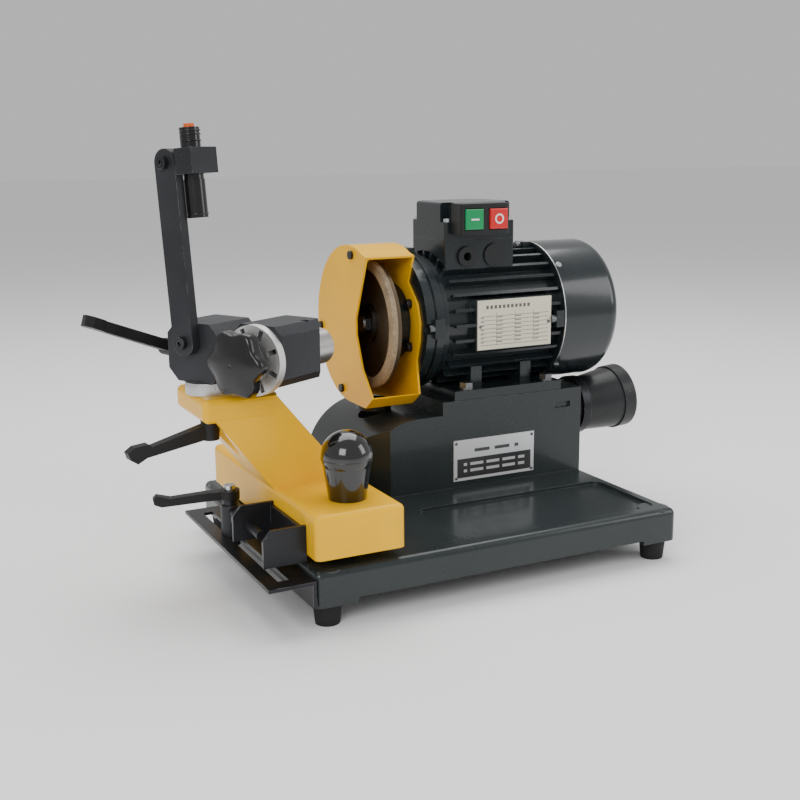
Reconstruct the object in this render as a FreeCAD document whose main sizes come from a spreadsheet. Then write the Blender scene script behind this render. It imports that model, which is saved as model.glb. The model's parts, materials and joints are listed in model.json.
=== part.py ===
"""Drill bit sharpener: bench grinder for annular cutters, as a parametric document.

Frame: +Z up, +X along the motor shaft away from the wheel, +Y from the operator to the back.
The origin is on the bench, under the middle of the base. All lengths are in millimetres.
"""
import FreeCAD, Part
import Sketcher

import os
import re

doc = FreeCAD.newDocument("drill_bit_sharpener")
sheet = doc.addObject("Spreadsheet::Sheet", "sizes")

# ---------------------------------------------------------------- driving sizes
SIZES = {
    # base casting
    "base_length": 352, "base_depth": 290, "base_height": 30, "base_wall": 6, "base_round": 6,
    "arch_rise": 4, "arch_pad": 36, "foot_height": 18, "foot_radius": 12, "foot_inset": 15,
    "foot_screw_radius": 3,
    "tray_length": 201, "tray_width": 92, "tray_drop": 3, "tray_front": 14, "tray_right": 12,
    # pedestal under the motor
    "pedestal_front": 4, "pedestal_back": 135, "pedestal_height": 85, "pedestal_step": 13,
    "pedestal_step_x": 17, "pedestal_round": 60, "pedestal_left": 69, "pedestal_inset": 2,
    "corner_cut_x": 30, "corner_cut_y": 58,
    # guide rail and swing arm casting
    "arm_left": 175, "arm_width": 77, "arm_front": 145, "arm_length": 255, "arm_gap": 9,
    "arm_height": 36, "arm_round": 5, "rail_width": 36, "rail_neck": 24, "rail_lip": 6,
    "rail_clearance": 0.1, "rail_start": 40, "groove_stop": 20, "platform_left": 232, "platform_width": 63, "platform_front": 56,
    "platform_depth": 80, "platform_top": 172.5, "platform_thickness": 20,
    "web_lean": 51, "web_cut_radius": 24,
    # swivel
    "swivel_x": 217, "swivel_y": 22, "ring_radius": 19, "ring_height": 10, "stud_radius": 5,
    "head_yaw": 29,
    # head block and spindle housing (head frame: u along the spindle, v across it)
    "block_back": 14, "block_length": 47, "block_left": 30, "block_right": 27, "block_height": 49,
    "block_chamfer": 10, "housing_start": 4, "housing_length": 56, "housing_gap": 0.3,
    "housing_width": 49, "housing_corner": 7, "spindle_offset": 52, "spindle_height": 204,
    "tilt_u": 10, "tilt_radius": 5, "recess_radius": 31, "recess_end": 6.2,
    # spindle
    "bore_radius": 9.54, "bore_depth": 40, "journal_radius": 14, "running_clearance": 0.05,
    "nose_radius": 15.5, "nose_length": 22, "disc_radius": 28.5, "disc_thickness": 7,
    "slot_count": 8, "knob_radius": 28, "knob_thickness": 17,
    # clamp levers
    "lever_reach": 72, "head_lever_reach": 92, "stop_lever_reach": 62, "lever_hub_radius": 8.5,
    # lamp
    "lamp_length": 142, "lamp_bar_width": 22, "lamp_bar_thickness": 8, "lamp_lean": 4.3,
    "lamp_pivot_v": 4.7, "lamp_pivot_height": 216, "lamp_radius": 8, "lamp_body_length": 70,
    "lamp_block_size": 20, "lamp_block_length": 40,
    # wheel, shaft and guard
    "motor_y": 69, "motor_height": 204, "shaft_radius": 7.5, "wheel_radius": 62.5,
    "rim_width": 10, "rim_thickness": 5, "wheel_left": 33, "web_thickness": 4,
    "guard_left": 49.5, "guard_radius": 75, "guard_sheet": 2, "guard_mouth_y": 28,
    # motor
    "shield_length": 26, "shield_radius": 66, "boss_radius": 36, "boss_length": 13,
    "barrel_end": 150, "barrel_radius": 58, "barrel_wall": 6, "fin_radius": 66, "fin_thickness": 3,
    "cover_length": 67, "cover_radius": 70, "cover_sheet": 1.5, "cover_round": 12,
    "foot_span_x": 90, "foot_span_y": 112, "foot_first_x": 47, "motor_foot": 9,
    "stator_radius": 50, "rotor_radius": 29, "rotor_length": 70, "long_bolt_radius": 66,
    "bearing_radius": 17.5, "bearing_width": 11, "guard_gap": 0.02,
    # terminal box and switch
    "box_left": 32, "box_length": 76, "box_front": 27, "box_depth": 68, "box_bottom": 246,
    "box_split": 282, "box_floor": 9, "box_port_height": 266.5, "box_seat": 64, "lid_height": 35, "lid_corner": 10, "lid_step": 17, "bezel_left": 38,
    "bezel_length": 52, "bezel_height": 28.5, "bezel_bottom": 288, "bezel_depth": 21,
    "button_size": 19, "button_gap": 26, "button_travel": 3,
    # dust outlet
    "dust_y": 45, "dust_height": 105, "dust_radius": 27, "dust_wall": 2.5, "dust_pipe": 24,
    "nozzle_length": 50, "nozzle_tilt": 5, "nozzle_lip": 14,
    # travel stop on the left of the base
    "plate_reach": 39, "plate_length": 222, "plate_thickness": 3, "plate_drop": 6,
    "plate_flange": 22, "stop_x": 198, "slot_width": 9, "slot_margin": 14, "stop_y": 7,
    "post_radius": 6.5, "rod_radius": 4, "rod_height": 69, "rod_length": 118, "bracket_front": 125,
    "bracket_length": 75, "bracket_sheet": 3, "bracket_height": 30,
    # label plates
    "label_length": 90, "label_height": 40, "rating_length": 82, "rating_height": 47,
    "rating_left": 53, "rating_bottom": 180,
}
for row, (alias, size) in enumerate(SIZES.items(), start=1):
    sheet.set(f"A{row}", alias)
    sheet.set(f"B{row}", str(size))
    sheet.setAlias(f"B{row}", alias)
doc.recompute()

BASE_BOTTOM = "foot_height"
BASE_TOP = "(foot_height + base_height)"
PEDESTAL_TOP = "(foot_height + base_height + pedestal_height)"
RING_TOP = "(platform_top + ring_height)"
GUARD_TOP_FRONT = "(motor_height + 66)"
GUARD_LOW_FRONT = "(motor_height - 63)"


def linked(formula):
    """Point every size name in a formula at its cell."""
    return re.sub(r"[a-z][a-z_]+", lambda m: f"sizes.{m[0]}" if m[0] in SIZES else m[0], str(formula))


def value(formula):
    """Let the sheet itself work a formula out, in a spare cell."""
    sheet.set("D1", f"={formula}")
    sheet.recompute()
    result = sheet.get("D1")
    return float(getattr(result, "Value", result))


AXES = {
    "X": FreeCAD.Rotation(FreeCAD.Vector(0, 1, 0), 90),
    "Y": FreeCAD.Rotation(FreeCAD.Vector(1, 0, 0), -90),
    "Z": FreeCAD.Rotation(),
}


def place(item, at, rotation=None):
    """Put an object at a point whose three coordinates are formulas."""
    item.Placement = FreeCAD.Placement(FreeCAD.Vector(), rotation or FreeCAD.Rotation())
    for letter, formula in zip("xyz", at):
        item.setExpression(f"Placement.Base.{letter}", linked(formula))
    return item


def box(at, length, width, height, rotation=None):
    item = doc.addObject("Part::Box", "box")
    for side, formula in zip(("Length", "Width", "Height"), (length, width, height)):
        item.setExpression(side, linked(formula))
    return place(item, at, rotation)


def cylinder(at, radius, height, axis="Z", rotation=None):
    item = doc.addObject("Part::Cylinder", "cylinder")
    item.setExpression("Radius", linked(radius))
    item.setExpression("Height", linked(height))
    return place(item, at, rotation or AXES[axis])


def cone(at, radius_start, radius_end, height, axis="Z", rotation=None):
    item = doc.addObject("Part::Cone", "cone")
    item.setExpression("Radius1", linked(radius_start))
    item.setExpression("Radius2", linked(radius_end))
    item.setExpression("Height", linked(height))
    return place(item, at, rotation or AXES[axis])


def ball(at, radius):
    item = doc.addObject("Part::Sphere", "ball")
    item.setExpression("Radius", linked(radius))
    return place(item, at)


def hexagon(at, across_flats, height, axis="Z"):
    """Hexagonal prism, sized across its flats."""
    item = doc.addObject("Part::Prism", "hexagon")
    item.Polygon = 6
    item.setExpression("Circumradius", linked(f"({across_flats}) / 1.7320508"))
    item.setExpression("Height", linked(height))
    return place(item, at, AXES[axis])


def fuse(*items):
    joined = doc.addObject("Part::MultiFuse", "joined")
    joined.Shapes = list(items)
    joined.Refine = True
    return joined


def cut(base, *tools):
    result = doc.addObject("Part::Cut", "cut")
    result.Base = base
    result.Tool = tools[0] if len(tools) == 1 else fuse(*tools)
    result.Refine = True
    return result


def common(first, second):
    result = doc.addObject("Part::Common", "shared")
    result.Base = first
    result.Tool = second
    return result


def group(*items):
    """Keep separate solids together as one node."""
    joined = doc.addObject("Part::Compound", "group")
    joined.Links = list(items)
    return joined


def prism(points, plane, start, length):
    """Extrude a polygon whose corners are pairs of formulas.

    plane "XY" extrudes along +Z from z = start, "XZ" along +Y from y = start, and "YZ" along +X
    from x = start.
    """
    sketch = doc.addObject("Sketcher::SketchObject", "outline")
    count = len(points)
    guess = [FreeCAD.Vector(value(a), value(b), 0) for a, b in points]
    for i in range(count):
        sketch.addGeometry(Part.LineSegment(guess[i], guess[(i + 1) % count]), False)
    for i in range(count):
        sketch.addConstraint(Sketcher.Constraint("Coincident", i, 2, (i + 1) % count, 1))
    for i, (a, b) in enumerate(points):
        for kind, formula, number in (("DistanceX", a, guess[i].x), ("DistanceY", b, guess[i].y)):
            index = sketch.addConstraint(Sketcher.Constraint(kind, -1, 1, i, 1, number))
            sketch.setExpression(f"Constraints[{index}]", linked(formula))
    turns = {
        "XY": (FreeCAD.Rotation(), FreeCAD.Vector(0, 0, 1), "z"),
        "XZ": (FreeCAD.Rotation(FreeCAD.Vector(1, 0, 0), 90), FreeCAD.Vector(0, 1, 0), "y"),
        "YZ": (FreeCAD.Rotation(FreeCAD.Vector(1, 1, 1), 120), FreeCAD.Vector(1, 0, 0), "x"),
    }
    rotation, direction, letter = turns[plane]
    sketch.Placement = FreeCAD.Placement(FreeCAD.Vector(), rotation)
    sketch.setExpression(f"Placement.Base.{letter}", linked(start))
    solid = doc.addObject("Part::Extrusion", "solid")
    solid.Base = sketch
    solid.DirMode = "Custom"
    solid.Dir = direction
    solid.Solid = True
    solid.setExpression("LengthFwd", linked(length))
    return solid


def rounded(item, radius, wanted):
    """Fillet the edges for which wanted(edge) is true."""
    doc.recompute()
    edges = [i for i, edge in enumerate(item.Shape.Edges, start=1) if wanted(edge)]
    result = doc.addObject("Part::Fillet", "rounded")
    result.Base = item
    size = value(radius)
    result.Edges = [(i, size, size) for i in edges]
    return result


def edge_box(edge):
    return edge.BoundBox


def runs_along(edge, letter, least=1.0):
    """True for a straight edge parallel to one axis."""
    size = edge_box(edge)
    spans = {"x": size.XLength, "y": size.YLength, "z": size.ZLength}
    longest = spans.pop(letter)
    return longest > least and max(spans.values()) < 0.01


NODES = {}


def node(label, item):
    """Name the finished solid of one physical piece."""
    item.Label = label
    NODES[label] = item
    return item


HEAD = FreeCAD.Rotation(FreeCAD.Vector(0, 0, 1), SIZES["head_yaw"])


def head_node(label, item):
    """A piece drawn in the head frame (u, v, z) and turned about the swivel axis into place."""
    carrier = fuse_one(item)
    carrier.Placement = FreeCAD.Placement(FreeCAD.Vector(), HEAD)
    carrier.setExpression("Placement.Base.x", linked("-swivel_x"))
    carrier.setExpression("Placement.Base.y", linked("-swivel_y"))
    carrier.setExpression("Placement.Rotation.Angle", linked("head_yaw"))
    return node(label, carrier)


def fuse_one(item):
    """Wrap one object so that the wrapper can carry a placement of its own."""
    wrapper = doc.addObject("Part::Compound", "carrier")
    wrapper.Links = [item]
    return wrapper


def octagon_section(left, right, bottom, top, chamfer):
    """Corners of a rectangle with its four corners cut at 45 degrees."""
    return [
        (f"{left} + {chamfer}", bottom), (f"{right} - {chamfer}", bottom),
        (right, f"{bottom} + {chamfer}"), (right, f"{top} - {chamfer}"),
        (f"{right} - {chamfer}", top), (f"{left} + {chamfer}", top),
        (left, f"{top} - {chamfer}"), (left, f"{bottom} + {chamfer}"),
    ]


# ---------------------------------------------------------------- base casting
FEET = [
    (f"{sx} * (base_length / 2 - foot_inset)", f"{sy} * (base_depth / 2 - foot_inset)")
    for sx in (-1, 1) for sy in (-1, 1)
]
MOTOR_BOLTS = [
    (x, f"motor_y + {side} * foot_span_y / 2")
    for x in ("foot_first_x", "(foot_first_x + foot_span_x)") for side in (-1, 1)
]


def base_casting():
    """Rimmed base plate with a hollow pedestal whose left end is a quarter round."""
    plate = box(("-base_length / 2", "-base_depth / 2", BASE_BOTTOM),
                "base_length", "base_depth", "base_height")
    plate = rounded(plate, "base_round", lambda e: runs_along(e, "z")
                    or edge_box(e).ZMin > value(BASE_TOP) - 0.01)
    pedestal_depth = "(pedestal_back - pedestal_front)"
    right_end = "(base_length / 2 - pedestal_inset)"
    low_top = "(pedestal_height - pedestal_step)"
    sunk = "base_wall"
    high = box(("pedestal_step_x", "pedestal_front", f"{BASE_TOP} - {sunk}"),
               f"{right_end} - pedestal_step_x", pedestal_depth, f"pedestal_height + {sunk}")
    low = box(("pedestal_round - pedestal_left", "pedestal_front", f"{BASE_TOP} - {sunk}"),
              "pedestal_step_x + pedestal_left - pedestal_round + 1", pedestal_depth,
              f"{low_top} + {sunk}")
    toe = box(("-pedestal_left", "pedestal_front", f"{BASE_TOP} - {sunk}"), "pedestal_round",
              pedestal_depth, f"{low_top} - pedestal_round + {sunk}")
    drum = cylinder(("pedestal_round - pedestal_left", "pedestal_front",
                     f"{BASE_TOP} + {low_top} - pedestal_round"), "pedestal_round", pedestal_depth, "Y")
    window = box(("-pedestal_left", "pedestal_front", f"{BASE_TOP} + {low_top} - pedestal_round"),
                 "pedestal_round", pedestal_depth, "pedestal_round")
    corner = prism([("-pedestal_left - 1", "pedestal_front - 1"),
                    ("corner_cut_x - pedestal_left + 1", "pedestal_front - 1"),
                    ("-pedestal_left - 1", "pedestal_front + corner_cut_y")],
                   "XY", BASE_TOP, "pedestal_height")
    bosses = [cylinder((x, y, BASE_BOTTOM), "foot_radius + 2", "base_height - 1") for x, y in FEET]
    hollow = box(("base_wall - base_length / 2", "base_wall - base_depth / 2", "foot_height - 1"),
                 "base_length - 2 * base_wall", "base_depth - 2 * base_wall",
                 "base_height - 2 * base_wall + 7")
    arch_x = box(("arch_pad - base_length / 2", "-base_depth", "foot_height - 1"),
                 "base_length - 2 * arch_pad", "2 * base_depth", "arch_rise + 1")
    arch_y = box(("-base_length", "arch_pad - base_depth / 2", "foot_height - 1"),
                 "2 * base_length", "base_depth - 2 * arch_pad", "arch_rise + 1")
    room_high = box(("pedestal_step_x + base_wall", "pedestal_front + base_wall", BASE_BOTTOM),
                    f"{right_end} - pedestal_step_x - 2 * base_wall",
                    f"{pedestal_depth} - 2 * base_wall",
                    "base_height + pedestal_height - base_wall")
    room_low = box(("corner_cut_x - pedestal_left + 3", "pedestal_front + base_wall + 2", BASE_BOTTOM),
                   "pedestal_step_x + pedestal_left - corner_cut_x + base_wall",
                   f"{pedestal_depth} - 2 * base_wall - 2", f"base_height + {low_top} - 2 * base_wall")
    tray = box(("base_length / 2 - tray_right - tray_length", "tray_front - base_depth / 2",
                f"{BASE_TOP} - tray_drop"), "tray_length", "tray_width", "tray_drop + 1")
    tray = rounded(tray, "base_round + 4", lambda e: runs_along(e, "z"))
    shell = cut(fuse(plate, high, low, toe, common(drum, window)), corner, hollow, arch_x, arch_y,
                room_high, room_low, tray)
    foot_holes = [cylinder((x, y, "foot_height - 1"), "foot_screw_radius", "base_height - 8")
                  for x, y in FEET]
    motor_holes = [cylinder((x, y, f"{PEDESTAL_TOP} - 3 * base_wall"), "3.55", "4 * base_wall")
                   for x, y in MOTOR_BOLTS]
    dust_in = cylinder(("-guard_left / 2", "motor_y", f"{BASE_TOP} + {low_top} - 3 * base_wall"), "15",
                       "4 * base_wall")
    dust_out = cylinder((f"{right_end} - 2 * base_wall", "dust_y", "dust_height"),
                        "dust_radius - dust_wall", "3 * base_wall", "X")
    vent = box(("base_length / 2 - 33", "pedestal_front - 1", f"{PEDESTAL_TOP} - 19"), "18", "4", "6")
    return cut(fuse(shell, *bosses), *foot_holes, *motor_holes, dust_in, dust_out, vent)


node("base_casting", base_casting())
node("rubber_feet", group(*[
    cut(cone((x, y, 0), "foot_radius - 2", "foot_radius", "foot_height"),
        cylinder((x, y, "5"), "foot_screw_radius + 0.1", "foot_height"),
        cylinder((x, y, "-1"), "foot_screw_radius + 3", "7"))
    for x, y in FEET]))

# label plate on the front of the pedestal
node("label_plate", box(("28", "pedestal_front - 1.5", f"{BASE_TOP} + 6.5"),
                        "label_length", "1.5", "label_height"))

# ---------------------------------------------------------------- slide rail and arm
ARM_MID = "(arm_width / 2 - arm_left)"
ARM_LOW = f"({BASE_TOP} + arm_gap)"
ARM_TOP = f"({BASE_TOP} + arm_gap + arm_height)"


def dovetail(spread, low, high, start, length):
    """Dovetail bar along Y, drawn larger by spread for its groove."""
    half_neck = f"(rail_neck / 2 + {spread})"
    half_head = f"(rail_width / 2 + {spread})"
    knee = f"({BASE_TOP} + arm_gap + 2)"
    points = [(f"{ARM_MID} - {half_neck}", low), (f"{ARM_MID} + {half_neck}", low),
              (f"{ARM_MID} + {half_neck}", knee), (f"{ARM_MID} + {half_head}", f"{knee} + rail_lip"),
              (f"{ARM_MID} + {half_head}", high), (f"{ARM_MID} - {half_head}", high),
              (f"{ARM_MID} - {half_head}", f"{knee} + rail_lip"), (f"{ARM_MID} - {half_neck}", knee)]
    return prism(points, "XZ", start, length)


RAIL_TOP = f"({BASE_TOP} + arm_gap + rail_lip + 6)"
node("guide_rail", dovetail("0", BASE_TOP, RAIL_TOP, "rail_start - base_depth / 2",
                              "base_depth - rail_start - 8"))


def arm_casting():
    """Slab on the rail, a leaning web and the swivel platform, with a groove under the slab."""
    slab = box(("-arm_left", "-arm_front", ARM_LOW), "arm_width", "arm_length", "arm_height")
    slab = rounded(slab, "arm_round", lambda e: edge_box(e).ZMax > value(ARM_LOW) + 1)
    platform = box(("-platform_left", "-platform_front", "platform_top - platform_thickness"),
                   "platform_width", "platform_depth", "platform_thickness")
    platform = rounded(platform, "arm_round", lambda e: not (
        runs_along(e, "y") and edge_box(e).XMin > value("platform_width - platform_left") - 0.1))
    web = prism([("3 - arm_left", f"{ARM_TOP} - 6"), ("arm_width - arm_left - 8", f"{ARM_TOP} - 6"),
                 ("arm_width - arm_left - 10", f"{ARM_TOP} + 1"),
                 ("platform_width - platform_left - 1.5", "platform_top - 1"),
                 ("13 - platform_left", "platform_top - 3"),
                 ("9 - platform_left", "platform_top - platform_thickness + 3")],
                "XZ", "0.5 - platform_front", "platform_depth - 1")
    clearance = cylinder(("-swivel_x", "-swivel_y", f"{ARM_TOP} + 15"), "web_cut_radius",
                         f"platform_top - platform_thickness - {ARM_TOP} - 15")
    groove = dovetail("rail_clearance", f"{ARM_LOW} - 1", f"{RAIL_TOP} + rail_clearance",
                      "groove_stop - arm_front", "2 * base_depth")
    stud_hole = cylinder(("-swivel_x", "-swivel_y", "platform_top - 2 * platform_thickness"),
                         "stud_radius + running_clearance", "3 * platform_thickness")
    knob_hole = cylinder((KNOB_X, KNOB_Y, f"{ARM_TOP} - 12"), "5", "20")
    return cut(fuse(slab, platform, web), clearance, groove, stud_hole, knob_hole)


KNOB_X = f"({ARM_MID} + 4)"
KNOB_Y = "(36 - arm_front)"
node("arm_casting", arm_casting())
knob_base = f"{ARM_TOP}"
node("arm_knob", fuse(
    cone((KNOB_X, KNOB_Y, knob_base), "15.5", "20.5", "34"),
    ball((KNOB_X, KNOB_Y, f"{knob_base} + 35"), "21"),
    cylinder((KNOB_X, KNOB_Y, f"{knob_base} - 11"), "4.95", "14")))


# ---------------------------------------------------------------- clamp levers
def lever_shape(reach, drop, stud):
    """Clamp lever about +Z: stud upwards from z = 0, hub below, arm towards -X and down by drop."""
    hub = cone((0, 0, "-20"), "lever_hub_radius - 1.5", "lever_hub_radius", "20")
    arm = prism([("-1", "-5"), ("-1", "-18"), (f"14 - {reach}", f"-18 - {drop} * 0.8"),
                 (f"6 - {reach}", f"-20 - {drop}"), (f"-{reach}", f"-16 - {drop}"),
                 (f"-{reach} - 2", f"-10 - {drop}"), (f"4 - {reach}", f"-6 - {drop}"),
                 (f"16 - {reach}", f"-7 - {drop} * 0.8"), (f"19 - {reach}", f"-10 - {drop} * 0.75")],
                "XZ", "-4.5", "9")
    return fuse(hub, arm, cylinder((0, 0, "-2"), "stud_radius", f"{stud} + 2"))


def turned(item, at, rotation):
    """Give a drawn piece a placement of its own."""
    carrier = fuse_one(item)
    carrier.Placement = FreeCAD.Placement(FreeCAD.Vector(), rotation)
    for letter, formula in zip("xyz", at):
        carrier.setExpression(f"Placement.Base.{letter}", linked(formula))
    return carrier


node("swivel_lever", turned(lever_shape("lever_reach", "10", "platform_thickness + ring_height + 8"),
                            ("-swivel_x", "-swivel_y", "platform_top - platform_thickness - 0.2"),
                            FreeCAD.Rotation(FreeCAD.Vector(0, 0, 1), 8)))

# ---------------------------------------------------------------- head (u, v, z)
BLOCK_TOP = f"({RING_TOP} + block_height)"


def head_block():
    """Octagonal block on the protractor ring, scooped out round the index disc."""
    block = prism(octagon_section("-block_right", "block_left", RING_TOP, BLOCK_TOP, "block_chamfer"),
                  "YZ", "-block_back", "block_length")
    scoop = cylinder(("-block_back - 1", "-spindle_offset", "spindle_height"), "recess_radius",
                     "block_back + recess_end + 1", "X")
    stud_hole = cylinder((0, 0, f"{RING_TOP} - 1"), "stud_radius + running_clearance", "12")
    tilt_hole = cylinder(("tilt_u", "-block_right - 1", "spindle_height"),
                         "tilt_radius + running_clearance", "block_right + block_left + 2", "Y")
    bolt_hole = cylinder(("-block_back - 1", "lamp_pivot_v", "lamp_pivot_height"), "3.05", "11", "X")
    return cut(block, scoop, stud_hole, tilt_hole, bolt_hole)


head_node("protractor_ring", cut(
    cylinder((0, 0, "platform_top"), "ring_radius", "ring_height"),
    cylinder((0, 0, "platform_top - 1"), "stud_radius + running_clearance", "ring_height + 2")))
head_node("head_block", head_block())
head_node("tilt_shaft", cylinder(("tilt_u", "-spindle_offset + journal_radius + 1", "spindle_height"),
                                 "tilt_radius", "spindle_offset - journal_radius + 14", "Y"))
node("head_lever", turned(
    lever_shape("head_lever_reach", "4", "10"),
    ("-swivel_x + tilt_u * cos(head_yaw) - (block_left + 10.2) * sin(head_yaw)",
     "-swivel_y + tilt_u * sin(head_yaw) + (block_left + 10.2) * cos(head_yaw)", "spindle_height"),
    HEAD * FreeCAD.Rotation(FreeCAD.Vector(0, 1, 0), 21) * FreeCAD.Rotation(FreeCAD.Vector(1, 0, 0), 90)))


def spindle_housing():
    """Octagonal housing beside the head block, bored for the spindle."""
    near = "(-spindle_offset - housing_width / 2)"
    far = "(-block_right - housing_gap)"
    body = prism(octagon_section(near, far, RING_TOP, BLOCK_TOP, "housing_corner"), "YZ",
                 "housing_start", "housing_length")
    end = "(housing_start + housing_length)"
    corners = [prism([(f"{end} + 1", f"{side} - {sign}"), (f"{end} + 1", f"{side} + {sign} * 9"),
                      (f"{end} - 9", f"{side} - {sign}")], "XY", "spindle_height - housing_width",
                     "2 * housing_width") for side, sign in ((near, "1"), (far, "(-1)"))]
    bore = cylinder(("housing_start - 1", "-spindle_offset", "spindle_height"),
                    "journal_radius + running_clearance", "housing_length + 2", "X")
    tilt_hole = cylinder(("tilt_u", "-spindle_offset + journal_radius - 2", "spindle_height"),
                         "tilt_radius + 0.02", "spindle_offset", "Y")
    oil_hole = cylinder((f"{end} - 16", f"{near} + housing_corner + 2", f"{BLOCK_TOP} - 9"), "3.2", "12")
    return cut(body, *corners, bore, tilt_hole, oil_hole)


NOSE_START = "(housing_start + housing_length + housing_gap)"
DISC_START = "(housing_start - housing_gap - disc_thickness)"


def along_spindle(start, radius, length):
    return cylinder((start, "-spindle_offset", "spindle_height"), radius, length, "X")


def index_disc():
    """Flat disc with radial index slots near its rim."""
    slots = []
    for i in range(SIZES["slot_count"]):
        turn = FreeCAD.Rotation(FreeCAD.Vector(1, 0, 0), 360 / SIZES["slot_count"] * (i + 0.5))
        slot = box((0, "-2.2", "disc_radius - 11"), "3 * disc_thickness", "4.4", "9")
        slots.append(turned(slot, (f"{DISC_START} - disc_thickness", "-spindle_offset",
                                   "spindle_height"), turn))
    disc = cut(along_spindle(DISC_START, "disc_radius", "disc_thickness"),
               along_spindle(f"{DISC_START} - 1", "9.02", "disc_thickness + 2"), *slots)
    return disc


def star_knob():
    """Six-lobed hand knob with a hub that sits on the spindle's tail."""
    start = f"({DISC_START} - 10 - knob_thickness)"
    core = along_spindle(start, "knob_radius - 7", "knob_thickness")
    hub = along_spindle(f"{start} + knob_thickness - 1", "12", "10.9")
    lobes = []
    for i in range(6):
        turn = FreeCAD.Rotation(FreeCAD.Vector(1, 0, 0), 60 * i)
        lobe = cylinder((0, 0, "knob_radius - 8"), "8", "knob_thickness", "X")
        lobes.append(turned(lobe, (start, "-spindle_offset", "spindle_height"), turn))
    socket = along_spindle(f"{DISC_START} - 14", "9.02", "20")
    return cut(fuse(core, hub, *lobes), socket)


head_node("spindle_housing", spindle_housing())
head_node("spindle", cut(
    fuse(along_spindle(f"{NOSE_START}", "nose_radius", "nose_length"),
         along_spindle("housing_start - housing_gap", "journal_radius",
                       "housing_length + 2 * housing_gap"),
         along_spindle(f"{DISC_START} - 13.8", "9", "disc_thickness + 14")),
    along_spindle(f"{NOSE_START} + nose_length - bore_depth", "bore_radius", "bore_depth + 1"),
    cylinder((f"{NOSE_START} + nose_length / 2", "-spindle_offset", "spindle_height + 5"), "4.02", "15")))
head_node("index_disc", index_disc())
head_node("star_knob", star_knob())
head_node("nose_screw", cut(
    cylinder((f"{NOSE_START} + nose_length / 2", "-spindle_offset", "spindle_height + bore_radius + 0.6"),
             "4", "12"),
    hexagon((f"{NOSE_START} + nose_length / 2", "-spindle_offset", "spindle_height + bore_radius + 8.5"),
            "4", "5")))

# lamp arm, clamp and torch
BAR_START = "(-block_back - 0.2 - lamp_bar_thickness)"
TIP_V = "(lamp_pivot_v + lamp_length * sin(lamp_lean))"
TIP_Z = "(lamp_pivot_height + lamp_length * cos(lamp_lean))"


def lamp_bar():
    """Flat bar with round ends, leaning away from the spindle."""
    ends = [(("lamp_pivot_v", "lamp_pivot_height")), (TIP_V, TIP_Z)]
    side_v = "(lamp_bar_width / 2 * cos(lamp_lean))"
    side_z = "(lamp_bar_width / 2 * sin(lamp_lean))"
    points = [(f"{v} + {s} * {side_v}", f"{z} - {s} * {side_z}")
              for (v, z), s in ((ends[0], -1), (ends[0], 1), (ends[1], 1), (ends[1], -1))]
    straight = prism(points, "YZ", BAR_START, "lamp_bar_thickness")
    rounds = [cylinder((BAR_START, v, z), "lamp_bar_width / 2", "lamp_bar_thickness", "X")
              for v, z in ends]
    holes = [cylinder((f"{BAR_START} - 1", v, z), "3.05", "lamp_bar_thickness + 2", "X")
             for v, z in ends]
    return cut(fuse(straight, *rounds), *holes)


def cap_screw(at, length):
    """Socket head screw along +X with its head at the low end."""
    x, y, z = at
    return cut(fuse(cylinder((f"{x} - 4.5", y, z), "5", "4.5", "X"), cylinder(at, "3", length, "X")),
               hexagon((f"{x} - 5", y, z), "4", "3", "X"))


head_node("lamp_bar", lamp_bar())
head_node("lamp_screws", group(*[
    cap_screw((f"{BAR_START} - 0.02", v, z), "lamp_bar_thickness + 9")
    for v, z in (("lamp_pivot_v", "lamp_pivot_height"), (TIP_V, TIP_Z))]))
LAMP_U = "(-block_back + 9)"
LAMP_V = "(-13.5)"
BLOCK_END = "(10 - lamp_block_length)"


def on_lamp_clamp(item):
    """Stand a piece drawn round the tip screw at the top of the leaning bar."""
    return turned(item, (0, TIP_V, TIP_Z), FreeCAD.Rotation(FreeCAD.Vector(1, 0, 0), -SIZES["lamp_lean"]))


def lamp_block():
    """Block behind the bar with a forward part beside it, bored for the torch."""
    half = "lamp_block_size / 2"
    behind = box(("-block_back", BLOCK_END, f"-{half}"), "lamp_block_size", "lamp_block_length",
                 "lamp_block_size")
    beside = box((f"{BAR_START} - 0.5", BLOCK_END, f"-{half}"), "lamp_bar_thickness + 1",
                 f"-lamp_bar_width / 2 - 1 - {BLOCK_END}", "lamp_block_size")
    bolt_hole = cylinder(("-block_back - 1", 0, 0), "3.05", "11", "X")
    torch_hole = cylinder((LAMP_U, LAMP_V, "-lamp_block_size"), "lamp_radius + 0.03",
                          "2 * lamp_block_size")
    return cut(fuse(behind, beside), bolt_hole, torch_hole)


def lamp_body():
    """Torch with a slimmer cap end, hollow at the lens and under the button."""
    barrel = cylinder((LAMP_U, LAMP_V, "26 - lamp_body_length"), "lamp_radius", "lamp_body_length")
    head = cylinder((LAMP_U, LAMP_V, "26 - lamp_body_length"), "lamp_radius + 0.6",
                    "lamp_body_length - 26 - lamp_block_size / 2 - 4")
    button_way = cylinder((LAMP_U, LAMP_V, "22"), "4.6", "6")
    lens_room = cylinder((LAMP_U, LAMP_V, "25 - lamp_body_length"), "lamp_radius - 1.5", "5")
    return cut(fuse(barrel, head), button_way, lens_room)


head_node("lamp_block", on_lamp_clamp(lamp_block()))
head_node("lamp_body", on_lamp_clamp(lamp_body()))
head_node("lamp_button", on_lamp_clamp(cylinder((LAMP_U, LAMP_V, "24"), "4.2", "5")))

# ---------------------------------------------------------------- motor (shaft along +X)
SHIELD_END = "shield_length"
COVER_END = "(barrel_end + cover_length)"


def on_shaft(start, radius, length):
    return cylinder((start, "motor_y", "motor_height"), radius, length, "X")


def ring_on_shaft(start, outer, inner, length):
    return cut(on_shaft(start, outer, length), on_shaft(f"{start} - 1", inner, f"{length} + 2"))


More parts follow.
